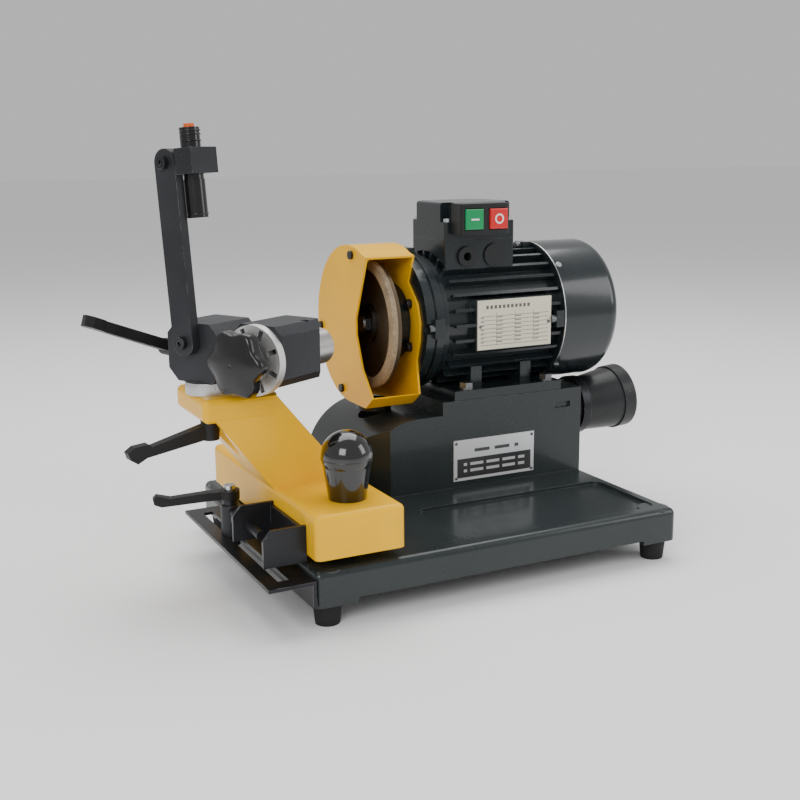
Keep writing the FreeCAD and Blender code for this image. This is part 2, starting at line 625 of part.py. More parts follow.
def around_shaft(count, first_angle, make):
    """Repeat a piece round the shaft; make(turn, at) draws it from a point on the axis."""
    pieces = []
    for i in range(count):
        turn = FreeCAD.Rotation(FreeCAD.Vector(1, 0, 0), first_angle + 360 / count * i)
        pieces.append(make(turn))
    return pieces


def about_axis(item, start, turn):
    """Stand a piece drawn round the origin at a station on the shaft axis."""
    return turned(item, (start, "motor_y", "motor_height"), turn)


LUG_SPOTS = [0, 90, 180, 270]
BARREL_START = f"({SHIELD_END} + 0.02)"
FRONT_LUG = "6.5"
REAR_LUG = "(barrel_end - 10)"


def motor_housing():
    """Finned barrel with its foot pad, rating plate pad and lugs for the long bolts."""
    length = f"(barrel_end - {BARREL_START})"
    barrel = on_shaft(BARREL_START, "barrel_radius", length)
    fins = around_shaft(28, 0, lambda turn: about_axis(
        box((0, "-fin_thickness / 2", "barrel_radius - 3"), f"{length} - 6", "fin_thickness",
            "fin_radius - barrel_radius + 3"), f"({BARREL_START} + 5)", turn))
    lugs = [about_axis(box((0, -8, "barrel_radius - 4"), "9", "16", "16"), REAR_LUG,
                       FreeCAD.Rotation(FreeCAD.Vector(1, 0, 0), a)) for a in LUG_SPOTS]
    foot = box(("foot_first_x - 17", "motor_y - foot_span_y / 2 - 8.5", PEDESTAL_TOP),
               "foot_span_x + 30", "foot_span_y + 17", "motor_foot")
    webs = [box((x, "motor_y - 46", f"{PEDESTAL_TOP} + 5"), "12", "92",
                f"motor_height - {PEDESTAL_TOP} - 40") for x in ("58", "114")]
    rating_pad = box(("rating_left - 1", "motor_y - fin_radius", "rating_bottom - 1"),
                     "rating_length + 2", "fin_radius - barrel_radius + 14", "rating_height + 2")
    box_neck = box(("box_left + 14", "motor_y - 20", "motor_height + barrel_radius - 6"),
                   "box_length - 28", "40", "box_seat - barrel_radius + 6")
    inside = on_shaft("0", "barrel_radius - barrel_wall", "2 * barrel_end")
    holes = [cylinder((x, y, f"{PEDESTAL_TOP} - 1"), "3.55", "motor_foot + 2")
             for x, y in MOTOR_BOLTS]
    head_room = [cylinder((x, y, f"{PEDESTAL_TOP} + motor_foot"), "8", "14") for x, y in MOTOR_BOLTS]
    bolt_ways = [about_axis(fuse(cylinder((-1, 0, "long_bolt_radius"), "2.1", "30", "X"),
                                 cylinder((-9, 0, "long_bolt_radius"), "4.8", "9", "X")),
                            REAR_LUG, FreeCAD.Rotation(FreeCAD.Vector(1, 0, 0), a))
                 for a in LUG_SPOTS]
    wire_way = cylinder(("box_left + box_length / 2", "motor_y", "motor_height + barrel_radius - 12"),
                        "12", "40")
    return cut(fuse(barrel, *fins, *lugs, foot, *webs, rating_pad, box_neck), inside, *holes,
               *head_room, *bolt_ways, wire_way)


def front_endshield():
    """Stepped round end casting with a boss that carries the guard and the front bearing."""
    disc = on_shaft("guard_gap", "shield_radius", f"{SHIELD_END} - guard_gap - 8")
    step = on_shaft(f"{SHIELD_END} - 10", "shield_radius - 4", "10")
    spigot = on_shaft(f"{SHIELD_END} - 2", "barrel_radius - barrel_wall - 0.02", "8")
    boss = on_shaft("-boss_length", "boss_radius", "boss_length + 4")
    lugs = [about_axis(box((0, -9, "shield_radius - 6"), "10", "18", "10"), FRONT_LUG,
                       FreeCAD.Rotation(FreeCAD.Vector(1, 0, 0), a)) for a in LUG_SPOTS]
    room = on_shaft("10", "stator_radius - 6", "40")
    seat = on_shaft("-7", "bearing_radius + 0.01", "40")
    shaft_way = on_shaft("-boss_length - 1", "shaft_radius + 0.5", "30")
    groove = ring_on_shaft("8", "shield_radius + 1", "shield_radius - 2", "3")
    bolt_ways = [about_axis(fuse(cylinder((-1, 0, "long_bolt_radius"), "2.1", "14", "X"),
                                 cylinder((-9, 0, "long_bolt_radius"), "4.8", "9", "X")),
                            FRONT_LUG, FreeCAD.Rotation(FreeCAD.Vector(1, 0, 0), a))
                 for a in LUG_SPOTS]
    return cut(fuse(disc, step, spigot, boss, *lugs), room, seat, shaft_way, groove, *bolt_ways)


def rear_endshield():
    """Rear bearing carrier inside the fan cover."""
    disc = on_shaft("barrel_end", "cover_radius - cover_sheet - 0.2", "8")
    spigot = on_shaft("barrel_end - 6", "barrel_radius - barrel_wall - 0.02", "8")
    hub = on_shaft("barrel_end", "bearing_radius + 6", "15")
    seat = on_shaft("barrel_end - 7", "bearing_radius + 0.01", "bearing_width + 8")
    shaft_way = on_shaft("barrel_end", "shaft_radius + 0.5", "20")
    bolt_ways = [about_axis(cylinder((-1, 0, "long_bolt_radius"), "2.2", "12", "X"), "barrel_end",
                            FreeCAD.Rotation(FreeCAD.Vector(1, 0, 0), a)) for a in LUG_SPOTS]
    screws = [about_axis(cylinder((4, 0, "cover_radius - 10"), "1.5", "14"), "barrel_end",
                         FreeCAD.Rotation(FreeCAD.Vector(1, 0, 0), a)) for a in COVER_SPOTS]
    return cut(fuse(disc, spigot, hub), seat, shaft_way, *bolt_ways, *screws)


COVER_SPOTS = [45, 135, 225, 315]


def fan_cover():
    """Drawn sheet cup with a rolled rear edge and a slotted grille."""
    outer = rounded(on_shaft("barrel_end + 0.3", "cover_radius", "cover_length"), "cover_round",
                    lambda e: edge_box(e).XMin > value(COVER_END))
    inner = rounded(on_shaft("barrel_end - 1", "cover_radius - cover_sheet",
                             "cover_length + 1.3 - cover_sheet"), "cover_round - cover_sheet",
                    lambda e: edge_box(e).XMin > value(f"{COVER_END} - 2 * cover_sheet"))
    grille = []
    for radius in (22, 33, 44):
        ring = ring_on_shaft(f"{COVER_END} - 4", f"{radius} + 3", f"{radius} - 3", "8")
        spokes = [about_axis(box((-5, -2.5, 0), "14", "5", "60"), COVER_END,
                             FreeCAD.Rotation(FreeCAD.Vector(1, 0, 0), 60 * k)) for k in range(6)]
        grille.append(cut(ring, *spokes))
    screws = [about_axis(cylinder((4, 0, "cover_radius - 5"), "1.6", "10"), "barrel_end",
                         FreeCAD.Rotation(FreeCAD.Vector(1, 0, 0), a)) for a in COVER_SPOTS]
    return cut(outer, inner, *grille, *screws)


node("motor_housing", motor_housing())
node("front_endshield", front_endshield())
node("rear_endshield", rear_endshield())
node("fan_cover", fan_cover())
node("motor_foot_bolts", group(*[
    fuse(cylinder((x, y, f"{PEDESTAL_TOP} - 14"), "3.5", "motor_foot + 16"),
         hexagon((x, y, f"{PEDESTAL_TOP} + motor_foot + 1.6"), "12", "5"),
         cylinder((x, y, f"{PEDESTAL_TOP} + motor_foot"), "7.2", "1.6"))
    for x, y in MOTOR_BOLTS]))


def long_bolt(length):
    """Socket head bolt along +X, drawn at the radius of the lugs."""
    return fuse(cylinder((-5, 0, "long_bolt_radius"), "4", "5", "X"),
                cylinder((-1, 0, "long_bolt_radius"), "2", length, "X"))


node("endshield_bolts", group(
    *[about_axis(long_bolt("12"), FRONT_LUG, FreeCAD.Rotation(FreeCAD.Vector(1, 0, 0), a))
      for a in LUG_SPOTS],
    *[about_axis(long_bolt("18"), REAR_LUG, FreeCAD.Rotation(FreeCAD.Vector(1, 0, 0), a))
      for a in LUG_SPOTS]))
node("fan_cover_screws", group(*[
    about_axis(fuse(cylinder((4, 0, "cover_radius + 0.02"), "3", "1.8"),
                    cylinder((4, 0, "cover_radius - 8"), "1.4", "9")), "barrel_end",
               FreeCAD.Rotation(FreeCAD.Vector(1, 0, 0), a)) for a in COVER_SPOTS]))

# rotor and bearings
ROTOR_START = "(shield_length + 24)"
node("motor_shaft", fuse(
    on_shaft("-wheel_left - 4", "shaft_radius", "wheel_left + barrel_end + 42"),
    on_shaft("6", "shaft_radius + 2", "34"), on_shaft("barrel_end - 26", "shaft_radius + 2", "18")))
node("rotor_core", ring_on_shaft(ROTOR_START, "rotor_radius", "shaft_radius + 2.02", "rotor_length"))
node("stator_core", ring_on_shaft(ROTOR_START, "barrel_radius - barrel_wall - 0.02",
                                  "rotor_radius + 0.4", "rotor_length"))
node("stator_windings", group(
    ring_on_shaft(f"{ROTOR_START} - 14", "stator_radius - 8", "rotor_radius + 2", "13.98"),
    ring_on_shaft(f"{ROTOR_START} + rotor_length + 0.02", "stator_radius - 8", "rotor_radius + 2", "14")))
node("bearings", group(
    ring_on_shaft("-6.5", "bearing_radius", "shaft_radius + 0.01", "bearing_width"),
    ring_on_shaft("barrel_end - 6.5", "bearing_radius", "shaft_radius + 0.01", "bearing_width")))


def cooling_fan():
    """Hub and seven straight blades on the rear end of the shaft."""
    start = "(barrel_end + 20)"
    hub = on_shaft(start, "16", "22")
    plate = on_shaft(start, "50", "2.5")
    blades = around_shaft(7, 0, lambda turn: about_axis(box((0, -1.2, 12), "20", "2.4", "42"),
                                                        start, turn))
    return cut(fuse(hub, plate, *blades), on_shaft(f"{start} - 1", "shaft_radius + 0.01", "24.5"))


node("cooling_fan", cooling_fan())
node("nameplate", box(("rating_left", "motor_y - fin_radius - 1", "rating_bottom"), "rating_length",
                      "1", "rating_height"))

# terminal box, lid and switch
BOX_X = "box_left"
LID_TOP = "(box_split + lid_height)"
LID_SPOTS = [(f"box_left + {x}", f"box_front + {y}")
             for x in ("lid_corner / 2", "(box_length - lid_corner / 2)")
             for y in ("lid_corner / 2", "(box_depth - lid_corner / 2)")]


def terminal_box():
    """Open-topped box saddled on the barrel."""
    shell = rounded(box(("box_left", "box_front", "box_bottom"), "box_length", "box_depth",
                        "box_split - box_bottom"), "3", lambda e: runs_along(e, "z"))
    room = box(("box_left + 10.5", "box_front + 4", "box_bottom + box_floor"), "box_length - 21",
               "box_depth - 8", "60")
    saddle = on_shaft("0", "fin_radius + 0.02", "barrel_end")
    bore = [cylinder((x, y, "box_split - 12"), "1.6", "13") for x, y in LID_SPOTS]
    wire_way = cylinder(("box_left + box_length / 2", "motor_y", "box_bottom - 1"), "12", "30")
    ports = [cylinder((x, "box_front - 1", "box_port_height"), r, "8", "Y")
             for x, r in (("box_left + 22.5", "5.5"), ("box_left + 53", "6"))]
    return cut(shell, room, saddle, wire_way, *bore, *ports)


def terminal_box_lid():
    """Deep lid with notched corners where the screws stand, and a cut-out for the switch."""
    shell = rounded(box(("box_left", "box_front", "box_split"), "box_length", "box_depth",
                        "lid_height"), "3", lambda e: runs_along(e, "z")
                    or edge_box(e).ZMin > value(LID_TOP) - 0.01)
    notches = [box((f"box_left + {x}", f"box_front + {y}", "box_split + lid_step"), "lid_corner + 3",
                   "lid_corner + 3", "lid_height")
               for x in ("(-3)", "(box_length - lid_corner)")
               for y in ("(-3)", "(box_depth - lid_corner)")]
    room = box(("box_left + lid_corner + 2", "box_front + 4", "box_split - 1"),
               "box_length - 2 * lid_corner - 4", "box_depth - 8", "lid_height - 2")
    screws = [cylinder((x, y, "box_split - 1"), "2.1", "lid_height") for x, y in LID_SPOTS]
    window = box(("bezel_left + 8", "box_front - 1", "bezel_bottom + 2"), "bezel_length - 16", "12",
                 "bezel_height - 6")
    return cut(shell, room, window, *notches, *screws)


node("terminal_box", terminal_box())
node("terminal_box_lid", terminal_box_lid())
node("lid_screws", group(*[
    fuse(cylinder((x, y, "box_split - 11"), "1.5", "lid_step + 12"),
         cylinder((x, y, "box_split + lid_step"), "4", "3.2")) for x, y in LID_SPOTS]))
node("cable_gland", cut(
    fuse(cylinder(("box_left + 22.5", "box_front - 3", "box_port_height"), "9.5", "3", "Y"),
         cylinder(("box_left + 22.5", "box_front - 3", "box_port_height"), "5.48", "7", "Y")),
    cylinder(("box_left + 22.5", "box_front - 4", "box_port_height"), "4", "12", "Y")))
node("blanking_plug", fuse(
    cylinder(("box_left + 53", "box_front - 2", "box_port_height"), "11.3", "2", "Y"),
    cylinder(("box_left + 53", "box_front - 2", "box_port_height"), "5.98", "5", "Y")))
BUTTONS = [f"(bezel_left + bezel_length / 2 + {s} * button_gap / 2)" for s in ("(-1)", "1")]
BUTTON_Z = "(bezel_bottom + bezel_height / 2)"


def square_at(x, y, z, across, depth):
    return box((f"{x} - ({across}) / 2", y, f"{z} - ({across}) / 2"), across, depth, across)


def switch_bezel():
    """Deep rounded frame with two square wells for the push buttons."""
    block = rounded(box(("bezel_left", "box_front - bezel_depth", "bezel_bottom"), "bezel_length",
                        "bezel_depth", "bezel_height"), "4",
                    lambda e: runs_along(e, "z") and edge_box(e).YMax < value("box_front - 1"))
    wells = [square_at(x, "box_front - bezel_depth - 1", BUTTON_Z, "button_size + 0.8", "16")
             for x in BUTTONS]
    return cut(block, *wells)


node("switch_bezel", switch_bezel())
for label, x in (("start_button", BUTTONS[0]), ("stop_button", BUTTONS[1])):
    node(label, rounded(square_at(x, "box_front - bezel_depth - 2", BUTTON_Z, "button_size", "13"),
                        "1.5", lambda e: edge_box(e).YMax < value("box_front - bezel_depth - 1.9")))

# ---------------------------------------------------------------- wheel guard
LEFT_OUTLINE = [(28, 270), (53, 212), (53, 196), (40, 165), (19, 141)]
RIGHT_OUTLINE = [(28, 268.5), (39.5, 245), (20, 226), (14.5, 208), (16, 190), (22, 172), (17, 141)]


def guard_profile(inset, start, length, front):
    """Round guard body with a flat-bottomed front corner, cut back to its front edge."""
    radius = f"(guard_radius - {inset})"
    disc = on_shaft(start, radius, length)
    top = prism([("guard_mouth_y", f"{GUARD_TOP_FRONT} - {inset}"),
                 ("motor_y", f"motor_height + {radius}"), ("motor_y", "motor_height"),
                 ("guard_mouth_y", "motor_height")], "YZ", start, length)
    low = prism([("motor_y", f"motor_height - {radius}"), ("motor_y", "motor_height"),
                 ("guard_mouth_y - 11", "motor_height"), ("guard_mouth_y - 11", f"{GUARD_LOW_FRONT} + {inset}"),
                 ("guard_mouth_y + 5", f"motor_height - {radius}")], "YZ", start, length)
    mouth = prism([(str(y), str(z)) for y, z in front] + [("-60", "120"), ("-60", "300")],
                  "YZ", f"{start} - 1", f"{length} + 2")
    return cut(fuse(disc, top, low), mouth)


def guard_shell():
    """Right side plate and rim band, pressed and welded as one."""
    depth = "(guard_left - guard_sheet)"
    solid = guard_profile("0", f"-{depth}", depth, LEFT_OUTLINE)
    hollow = guard_profile("guard_sheet", f"-{depth} - 1", f"{depth} + 1 - guard_sheet",
                           [(y - 60, z) for y, z in LEFT_OUTLINE])
    bulge = prism([(str(y), str(z)) for y, z in RIGHT_OUTLINE] + [("70", "150"), ("70", "260")],
                  "YZ", "-guard_sheet", "guard_sheet")
    boss_hole = on_shaft("-guard_left", "boss_radius + 0.3", "guard_left + 1")
    dust_hole = cylinder(("-guard_left / 2", "motor_y", f"{PEDESTAL_TOP} - pedestal_step"), "15", "20")
    tabs = [about_axis(box((f"3 - {depth}", -6, "guard_radius - 14"), "10", "12", "13"), "0",
                       FreeCAD.Rotation(FreeCAD.Vector(1, 0, 0), a)) for a in GUARD_SCREWS]
    bores = [about_axis(cylinder((f"-{depth}", 0, "guard_radius - 8"), "2.05", "14", "X"), "0",
                        FreeCAD.Rotation(FreeCAD.Vector(1, 0, 0), a)) for a in GUARD_SCREWS]
    nose = [about_axis(box((f"-{depth}", -6, "guard_radius - 14"), "4", "12", "13"), "0",
                       FreeCAD.Rotation(FreeCAD.Vector(1, 0, 0), a)) for a in GUARD_SCREWS]
    return cut(fuse(cut(solid, hollow), bulge, *tabs, *nose), boss_hole, dust_hole, *bores)


GUARD_SCREWS = [8, 262, 195]
node("guard_shell", guard_shell())
node("guard_cover", cut(
    guard_profile("0", "-guard_left", "guard_sheet - 0.02", LEFT_OUTLINE),
    *[about_axis(cylinder(("-guard_left - 1", 0, "guard_radius - 8"), "2.3", "14", "X"), "0",
                 FreeCAD.Rotation(FreeCAD.Vector(1, 0, 0), a)) for a in GUARD_SCREWS]))
node("guard_screws", group(*[
    about_axis(fuse(cylinder(("-guard_left - 3", 0, "guard_radius - 8"), "4", "3", "X"),
                    cylinder(("-guard_left - 1", 0, "guard_radius - 8"), "2", "12", "X")), "0",
               FreeCAD.Rotation(FreeCAD.Vector(1, 0, 0), a)) for a in GUARD_SCREWS]))

# ---------------------------------------------------------------- grinding wheel
node("abrasive_rim", rounded(ring_on_shaft("-wheel_left", "wheel_radius", "wheel_radius - rim_width",
                                           "rim_thickness"), "1",
                             lambda e: edge_box(e).XMax < value("0.5 - wheel_left")))
WEB_START = "(rim_thickness - wheel_left)"
node("wheel_body", ring_on_shaft(f"{WEB_START} + 0.02", "wheel_radius - 0.5", "shaft_radius + 0.02",
                                 "web_thickness"))
node("wheel_hub", ring_on_shaft(f"{WEB_START} + web_thickness + 0.04", "25", "shaft_radius + 0.01",
                                "2.4"))
node("wheel_nut", cut(
    fuse(on_shaft("1 - wheel_left", "19", "rim_thickness - 1.02"),
         hexagon(("-wheel_left - 3", "motor_y", "motor_height"), "19", "5", "X")),
    on_shaft("-wheel_left - 8", "shaft_radius + 0.01", "20")))

# ---------------------------------------------------------------- dust outlet
PIPE_END = "(base_length / 2 - pedestal_inset + dust_pipe)"


def swept_nozzle():
    """Flared nozzle that tilts upwards from the end of the pipe."""
    tilt = FreeCAD.Rotation(FreeCAD.Vector(0, 1, 0), 90 - SIZES["nozzle_tilt"])
    at = (f"{PIPE_END} + 3", "dust_y", "dust_height")
    lip = [f"{PIPE_END} + 3 + (nozzle_length - nozzle_lip) * cos(nozzle_tilt)", "dust_y",
           "dust_height + (nozzle_length - nozzle_lip) * sin(nozzle_tilt)"]
    outside = fuse(cone(at, "dust_radius + 1", "dust_radius + 6", "nozzle_length", rotation=tilt),
                   ball(at, "dust_radius + 1"),
                   cylinder(lip, "dust_radius + 6", "nozzle_lip", rotation=tilt))
    inside = fuse(cone(at, "dust_radius - 1.5", "dust_radius + 3", "nozzle_length + 0.1", rotation=tilt),
                  ball(at, "dust_radius - 1.5"))
    pipe_room = cylinder((f"{PIPE_END} - 60", "dust_y", "dust_height"), "2 * dust_radius", "58.02", "X")
    return cut(outside, inside, pipe_room)


DUCT_TOP = f"({PEDESTAL_TOP} - pedestal_step)"
node("dust_duct", group(
    cut(cylinder(("base_length / 2 - pedestal_inset", "dust_y", "dust_height"), "dust_radius",
                 "dust_pipe - 2", "X"),
        cylinder(("base_length / 2 - 20", "dust_y", "dust_height"), "dust_radius - dust_wall",
                 "dust_pipe + 40", "X")),
    cut(cylinder(("-guard_left / 2", "motor_y", DUCT_TOP), "17",
                 f"motor_height - guard_radius - {DUCT_TOP} - 0.02"),
        cylinder(("-guard_left / 2", "motor_y", f"{DUCT_TOP} - 1"), "15", "20"))))
node("dust_outlet", swept_nozzle())
node("dust_clamp_band", cut(
    cylinder((f"{PIPE_END} - 11", "dust_y", "dust_height"), "dust_radius + 3", "9", "X"),
    cylinder((f"{PIPE_END} - 12", "dust_y", "dust_height"), "dust_radius + 0.02", "12", "X")))

# ---------------------------------------------------------------- travel stop
PLATE_TOP = "(foot_height + base_height - plate_drop)"
PLATE_FACE = "(-base_length / 2)"


def stop_bracket():
    """Slotted angle plate screwed to the left edge of the base."""
    plate = box((f"{PLATE_FACE} - plate_reach", "-base_depth / 2 - 1", f"{PLATE_TOP} - plate_thickness"),
                "plate_reach", "plate_length", "plate_thickness")
    flange = box((f"{PLATE_FACE} - plate_thickness", "-base_depth / 2 - 1",
                  f"{PLATE_TOP} - plate_flange"), "plate_thickness", "plate_length", "plate_flange")
    slot = box(("-stop_x - slot_width / 2", "slot_margin - base_depth / 2 - 1",
                f"{PLATE_TOP} - plate_thickness - 1"), "slot_width",
               "plate_length - 2 * slot_margin", "plate_thickness + 2")
    return cut(fuse(plate, flange), slot)


def stop_post():
    """Round post whose neck runs in the slot, bored across for the stop rod."""
    post = cylinder(("-stop_x", "-stop_y", f"{PLATE_TOP} + 0.02"), "post_radius + 2", "27")
    neck = cylinder(("-stop_x", "-stop_y", f"{PLATE_TOP} - plate_thickness - 6"),
                    "slot_width / 2 - 0.05", "plate_thickness + 7")
    head = cylinder(("-stop_x", "-stop_y", f"{PLATE_TOP} - plate_thickness - 6"), "slot_width / 2 + 3",
                    "5.98")
    top = cylinder(("-stop_x", "-stop_y", f"{PLATE_TOP} + 26"), "post_radius", "6")
    rod_way = cylinder(("-stop_x", "-stop_y - 20", "rod_height - 5"), "rod_radius + 0.05", "40", "Y")
    tapped = cylinder(("-stop_x", "-stop_y", f"{PLATE_TOP} + 30"), "2.55", "12")
    return cut(fuse(post, neck, head, top), rod_way, tapped)


node("stop_bracket", stop_bracket())
node("stop_post", stop_post())
node("stop_lever", turned(
    cut(fuse(cylinder((0, 0, 0), "lever_hub_radius", "8"),
             prism([("-3", "0.6"), ("-20", "0"), ("16 - stop_lever_reach", "-1.4"),
                    ("4 - stop_lever_reach", "-2"), ("-stop_lever_reach - 2", "0.5"),
                    ("-stop_lever_reach - 3", "5"), ("-stop_lever_reach", "8"),
                    ("12 - stop_lever_reach", "5"), ("-20", "7.4"), ("-3", "7.6")],
                   "XZ", "-4.5", "9")),
        cylinder((0, 0, "-1"), "2.55", "10")),
    ("-stop_x", "-stop_y", f"{PLATE_TOP} + 32.2"), FreeCAD.Rotation(FreeCAD.Vector(0, 0, 1), -12)))
node("stop_screw", fuse(
    cylinder(("-stop_x", "-stop_y", f"{PLATE_TOP} + 31"), "2.5", "9.5"),
    cylinder(("-stop_x", "-stop_y", f"{PLATE_TOP} + 40.4"), "5", "4")))
ROD_Z = "(rod_height - 5)"
WEB_X = "(-arm_left - bracket_sheet)"
node("stop_rod", cylinder(("-stop_x", "-bracket_front + 40", ROD_Z), "rod_radius", "rod_length", "Y"))
node("stop_nuts", cut(
    fuse(hexagon(("-stop_x", "bracket_length - bracket_front", ROD_Z), "14", "7", "Y"),
         cylinder(("-stop_x", "bracket_length - bracket_front + 7", ROD_Z), "8.5", "9", "Y")),
    cylinder(("-stop_x", "-bracket_front", ROD_Z), "rod_radius + 0.01", "300", "Y")))


def u_bracket():
    """Sheet bracket on the arm's left face with two plates reaching out over the slot."""
    low = "(rod_height - 18)"
    web = box((WEB_X, "-bracket_front", f"{ARM_LOW} + 1"), "bracket_sheet - 0.02", "bracket_length",
              "bracket_height - 10")
    plates = [prism([(f"{WEB_X} + bracket_sheet - 0.02", low), (f"{WEB_X} + bracket_sheet - 0.02",
              f"{low} + bracket_height"), ("-stop_x - 6", f"{low} + bracket_height"),
                     ("-stop_x - 13", f"{low} + bracket_height - 8"), ("-stop_x - 13", low)],
                    "XZ", y, "bracket_sheet")
              for y in ("-bracket_front", "bracket_length - bracket_front - bracket_sheet")]
    return cut(fuse(web, *plates), cylinder(("-stop_x", "-bracket_front + 10", ROD_Z),
                                           "rod_radius + 0.02", "bracket_length", "Y"))


node("u_bracket", u_bracket())

# ---------------------------------------------------------------- checks and export
doc.recompute()
faults = [item.Label for item in doc.Objects if set(item.State) & {"Invalid", "Error"}]
if faults:
    raise RuntimeError(f"objects that did not build: {faults}")
os.makedirs("parts", exist_ok=True)
for label, item in NODES.items():
    if item.Shape.isNull() or not item.Shape.isValid():
        raise RuntimeError(f"{label} has no valid shape")
    item.Shape.exportStep(f"parts/{label}.step")
print(len(NODES), "parts written")
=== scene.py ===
# %% [markdown]
# A drill bit sharpener for core drills: a guarded grinding wheel on an induction motor, and a
# yellow arm that carries an indexing spindle up to it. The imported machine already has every
# working shape, so this lesson gives each surface its finish and adds the small things that are
# printed, stamped or screwed on.

import json
import math

import bpy
import numpy as np
from mathutils import Matrix, Vector


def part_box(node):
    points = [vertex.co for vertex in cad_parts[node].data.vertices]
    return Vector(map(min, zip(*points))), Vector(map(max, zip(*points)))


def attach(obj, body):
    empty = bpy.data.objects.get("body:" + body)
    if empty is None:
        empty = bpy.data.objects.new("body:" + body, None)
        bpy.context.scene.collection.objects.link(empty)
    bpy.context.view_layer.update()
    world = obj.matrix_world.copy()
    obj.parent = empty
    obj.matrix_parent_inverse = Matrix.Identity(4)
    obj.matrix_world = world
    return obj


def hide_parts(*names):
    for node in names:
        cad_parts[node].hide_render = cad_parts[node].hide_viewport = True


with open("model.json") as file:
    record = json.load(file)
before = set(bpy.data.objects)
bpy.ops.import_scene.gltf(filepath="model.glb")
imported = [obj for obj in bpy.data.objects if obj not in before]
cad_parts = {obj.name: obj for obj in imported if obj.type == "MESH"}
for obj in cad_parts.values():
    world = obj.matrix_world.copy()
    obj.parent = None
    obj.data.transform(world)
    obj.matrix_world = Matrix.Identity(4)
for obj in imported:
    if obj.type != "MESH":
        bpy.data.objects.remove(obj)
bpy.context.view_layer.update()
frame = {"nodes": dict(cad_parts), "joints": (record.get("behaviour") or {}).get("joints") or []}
nodes = frame["nodes"]
print(len(nodes), "pieces loaded")

# %% [markdown]
# Most new pieces are turned or repeated. Two small tools cover them: a profile carried round an
# axis, and a set of little bars placed all at once. Each works on whole arrays of points and then
# fills a mesh once. The others read points back, join pieces and close a grid.


# %% Tools that make meshes from arrays
def mesh_piece(name, points, faces, smooth):
    """Put an array of points and a list of faces into a new object at the origin."""
    mesh = bpy.data.meshes.new(name)
    mesh.from_pydata(points.reshape(-1, 3).tolist(), [], faces)
    mesh.polygons.foreach_set("use_smooth", np.full(len(mesh.polygons), smooth))
    mesh.update()
    piece = bpy.data.objects.new(name, mesh)
    bpy.context.scene.collection.objects.link(piece)
    return piece


def axis_frame(axis):
    """Three unit vectors: two across the axis and the axis itself."""
    along = np.array(axis, float) / np.linalg.norm(axis)
    helper = np.array([0.0, 0.0, 1.0]) if abs(along[2]) < 0.9 else np.array([1.0, 0.0, 0.0])
    across = np.cross(helper, along)
    across /= np.linalg.norm(across)
    return across, np.cross(along, across), along


def lathe(name, centre, axis, profile, sides=48, smooth=True):
    """Surface of turning: point = centre + h*axis + r*(cos t*across + sin t*up), for each
    (r, h) of a closed profile and for t once round."""
    across, up, along = axis_frame(axis)
    r, h = np.array(profile, float).T
    t = np.linspace(0, 2 * np.pi, sides, endpoint=False)
    ring = np.cos(t)[:, None] * across + np.sin(t)[:, None] * up
    points = np.array(centre) + h[:, None, None] * along + r[:, None, None] * ring[None]
    return mesh_piece(name, points, wrapped_quads(len(r), sides), smooth)


def bars(name, centres, along, across, up, sizes):
    """Many small boxes at once: corner = centre +- half size along each of three directions."""
    signs = np.array([[x, y, z] for x in (-1, 1) for y in (-1, 1) for z in (-1, 1)], float)
    half = np.asarray(sizes, float)[:, None, :] * signs[None] / 2
    axes = np.stack([np.asarray(along), np.asarray(across), np.asarray(up)], 1)
    points = np.asarray(centres)[:, None, :] + half @ axes
    quads = np.array([[0, 1, 3, 2], [4, 6, 7, 5], [0, 4, 5, 1], [2, 3, 7, 6], [0, 2, 6, 4],
                      [1, 5, 7, 3]])
    faces = (np.arange(len(points))[:, None, None] * 8 + quads[None]).reshape(-1, 4).tolist()
    return mesh_piece(name, points, faces, False)


def points_of(mesh):
    """All the points of a mesh, as an array of rows of three."""
    flat = np.empty(len(mesh.vertices) * 3)
    mesh.vertices.foreach_get("co", flat)
    return flat.reshape(-1, 3)


def joined(name, parts, smooth=False):
    """Make several freshly made meshes one piece."""
    points, faces, start = [], [], 0
    for part in parts:
        points.append(points_of(part.data))
        faces += [[v + start for v in poly.vertices] for poly in part.data.polygons]
        start += len(part.data.vertices)
        bpy.data.objects.remove(part)
    return mesh_piece(name, np.concatenate(points), faces, smooth)


def wrapped_quads(rows, cols):
    """Faces of a grid that closes both ways: each point to its neighbours one row and column on."""
    i, j = np.meshgrid(np.arange(rows), np.arange(cols), indexing="ij")
    k, m = (i + 1) % rows, (j + 1) % cols
    quads = np.stack([i * cols + j, i * cols + m, k * cols + m, k * cols + j], -1)
    return quads.reshape(-1, 4).tolist()


def bead(radius, height, thick, tall):
    """Profile of a raised ring: an ellipse of eight points about (radius, height)."""
    t = np.linspace(0, 2 * np.pi, 8, endpoint=False)
    return np.stack([radius + thick * np.cos(t), height + tall * np.sin(t)], -1)


print("mesh tools ready")

# %% [markdown]
# Paint on a casting is never flat. Three effects come back in many finishes, so each is a shader
# node group: soft edges with wear on them, which on the yellow carries a painted highlight, the
# skin of a cast or sprayed surface, and the fine rings a lathe leaves. They put out masks, heights
# and normals, and the shader stays outside.


# %% Tools that make node groups
def new_group(name, inputs, outputs):
    """Start a node group with named sockets."""
    group = bpy.data.node_groups.new(name, "ShaderNodeTree")
    for label, kind, value in inputs:
        socket = group.interface.new_socket(name=label, in_out="INPUT", socket_type=kind)
        socket.default_value = value
    for label, kind in outputs:
        group.interface.new_socket(name=label, in_out="OUTPUT", socket_type=kind)
    return group, group.nodes.new("NodeGroupInput"), group.nodes.new("NodeGroupOutput")


def add(tree, kind, links=None, **values):
    """Add a node, set its fields or sockets, and link what feeds it."""
    item = tree.nodes.new(kind)
    for key, value in values.items():
        if hasattr(item, key):
            setattr(item, key, value)
    for key, source in (links or {}).items():
        tree.links.new(source, item.inputs[key])
    return item


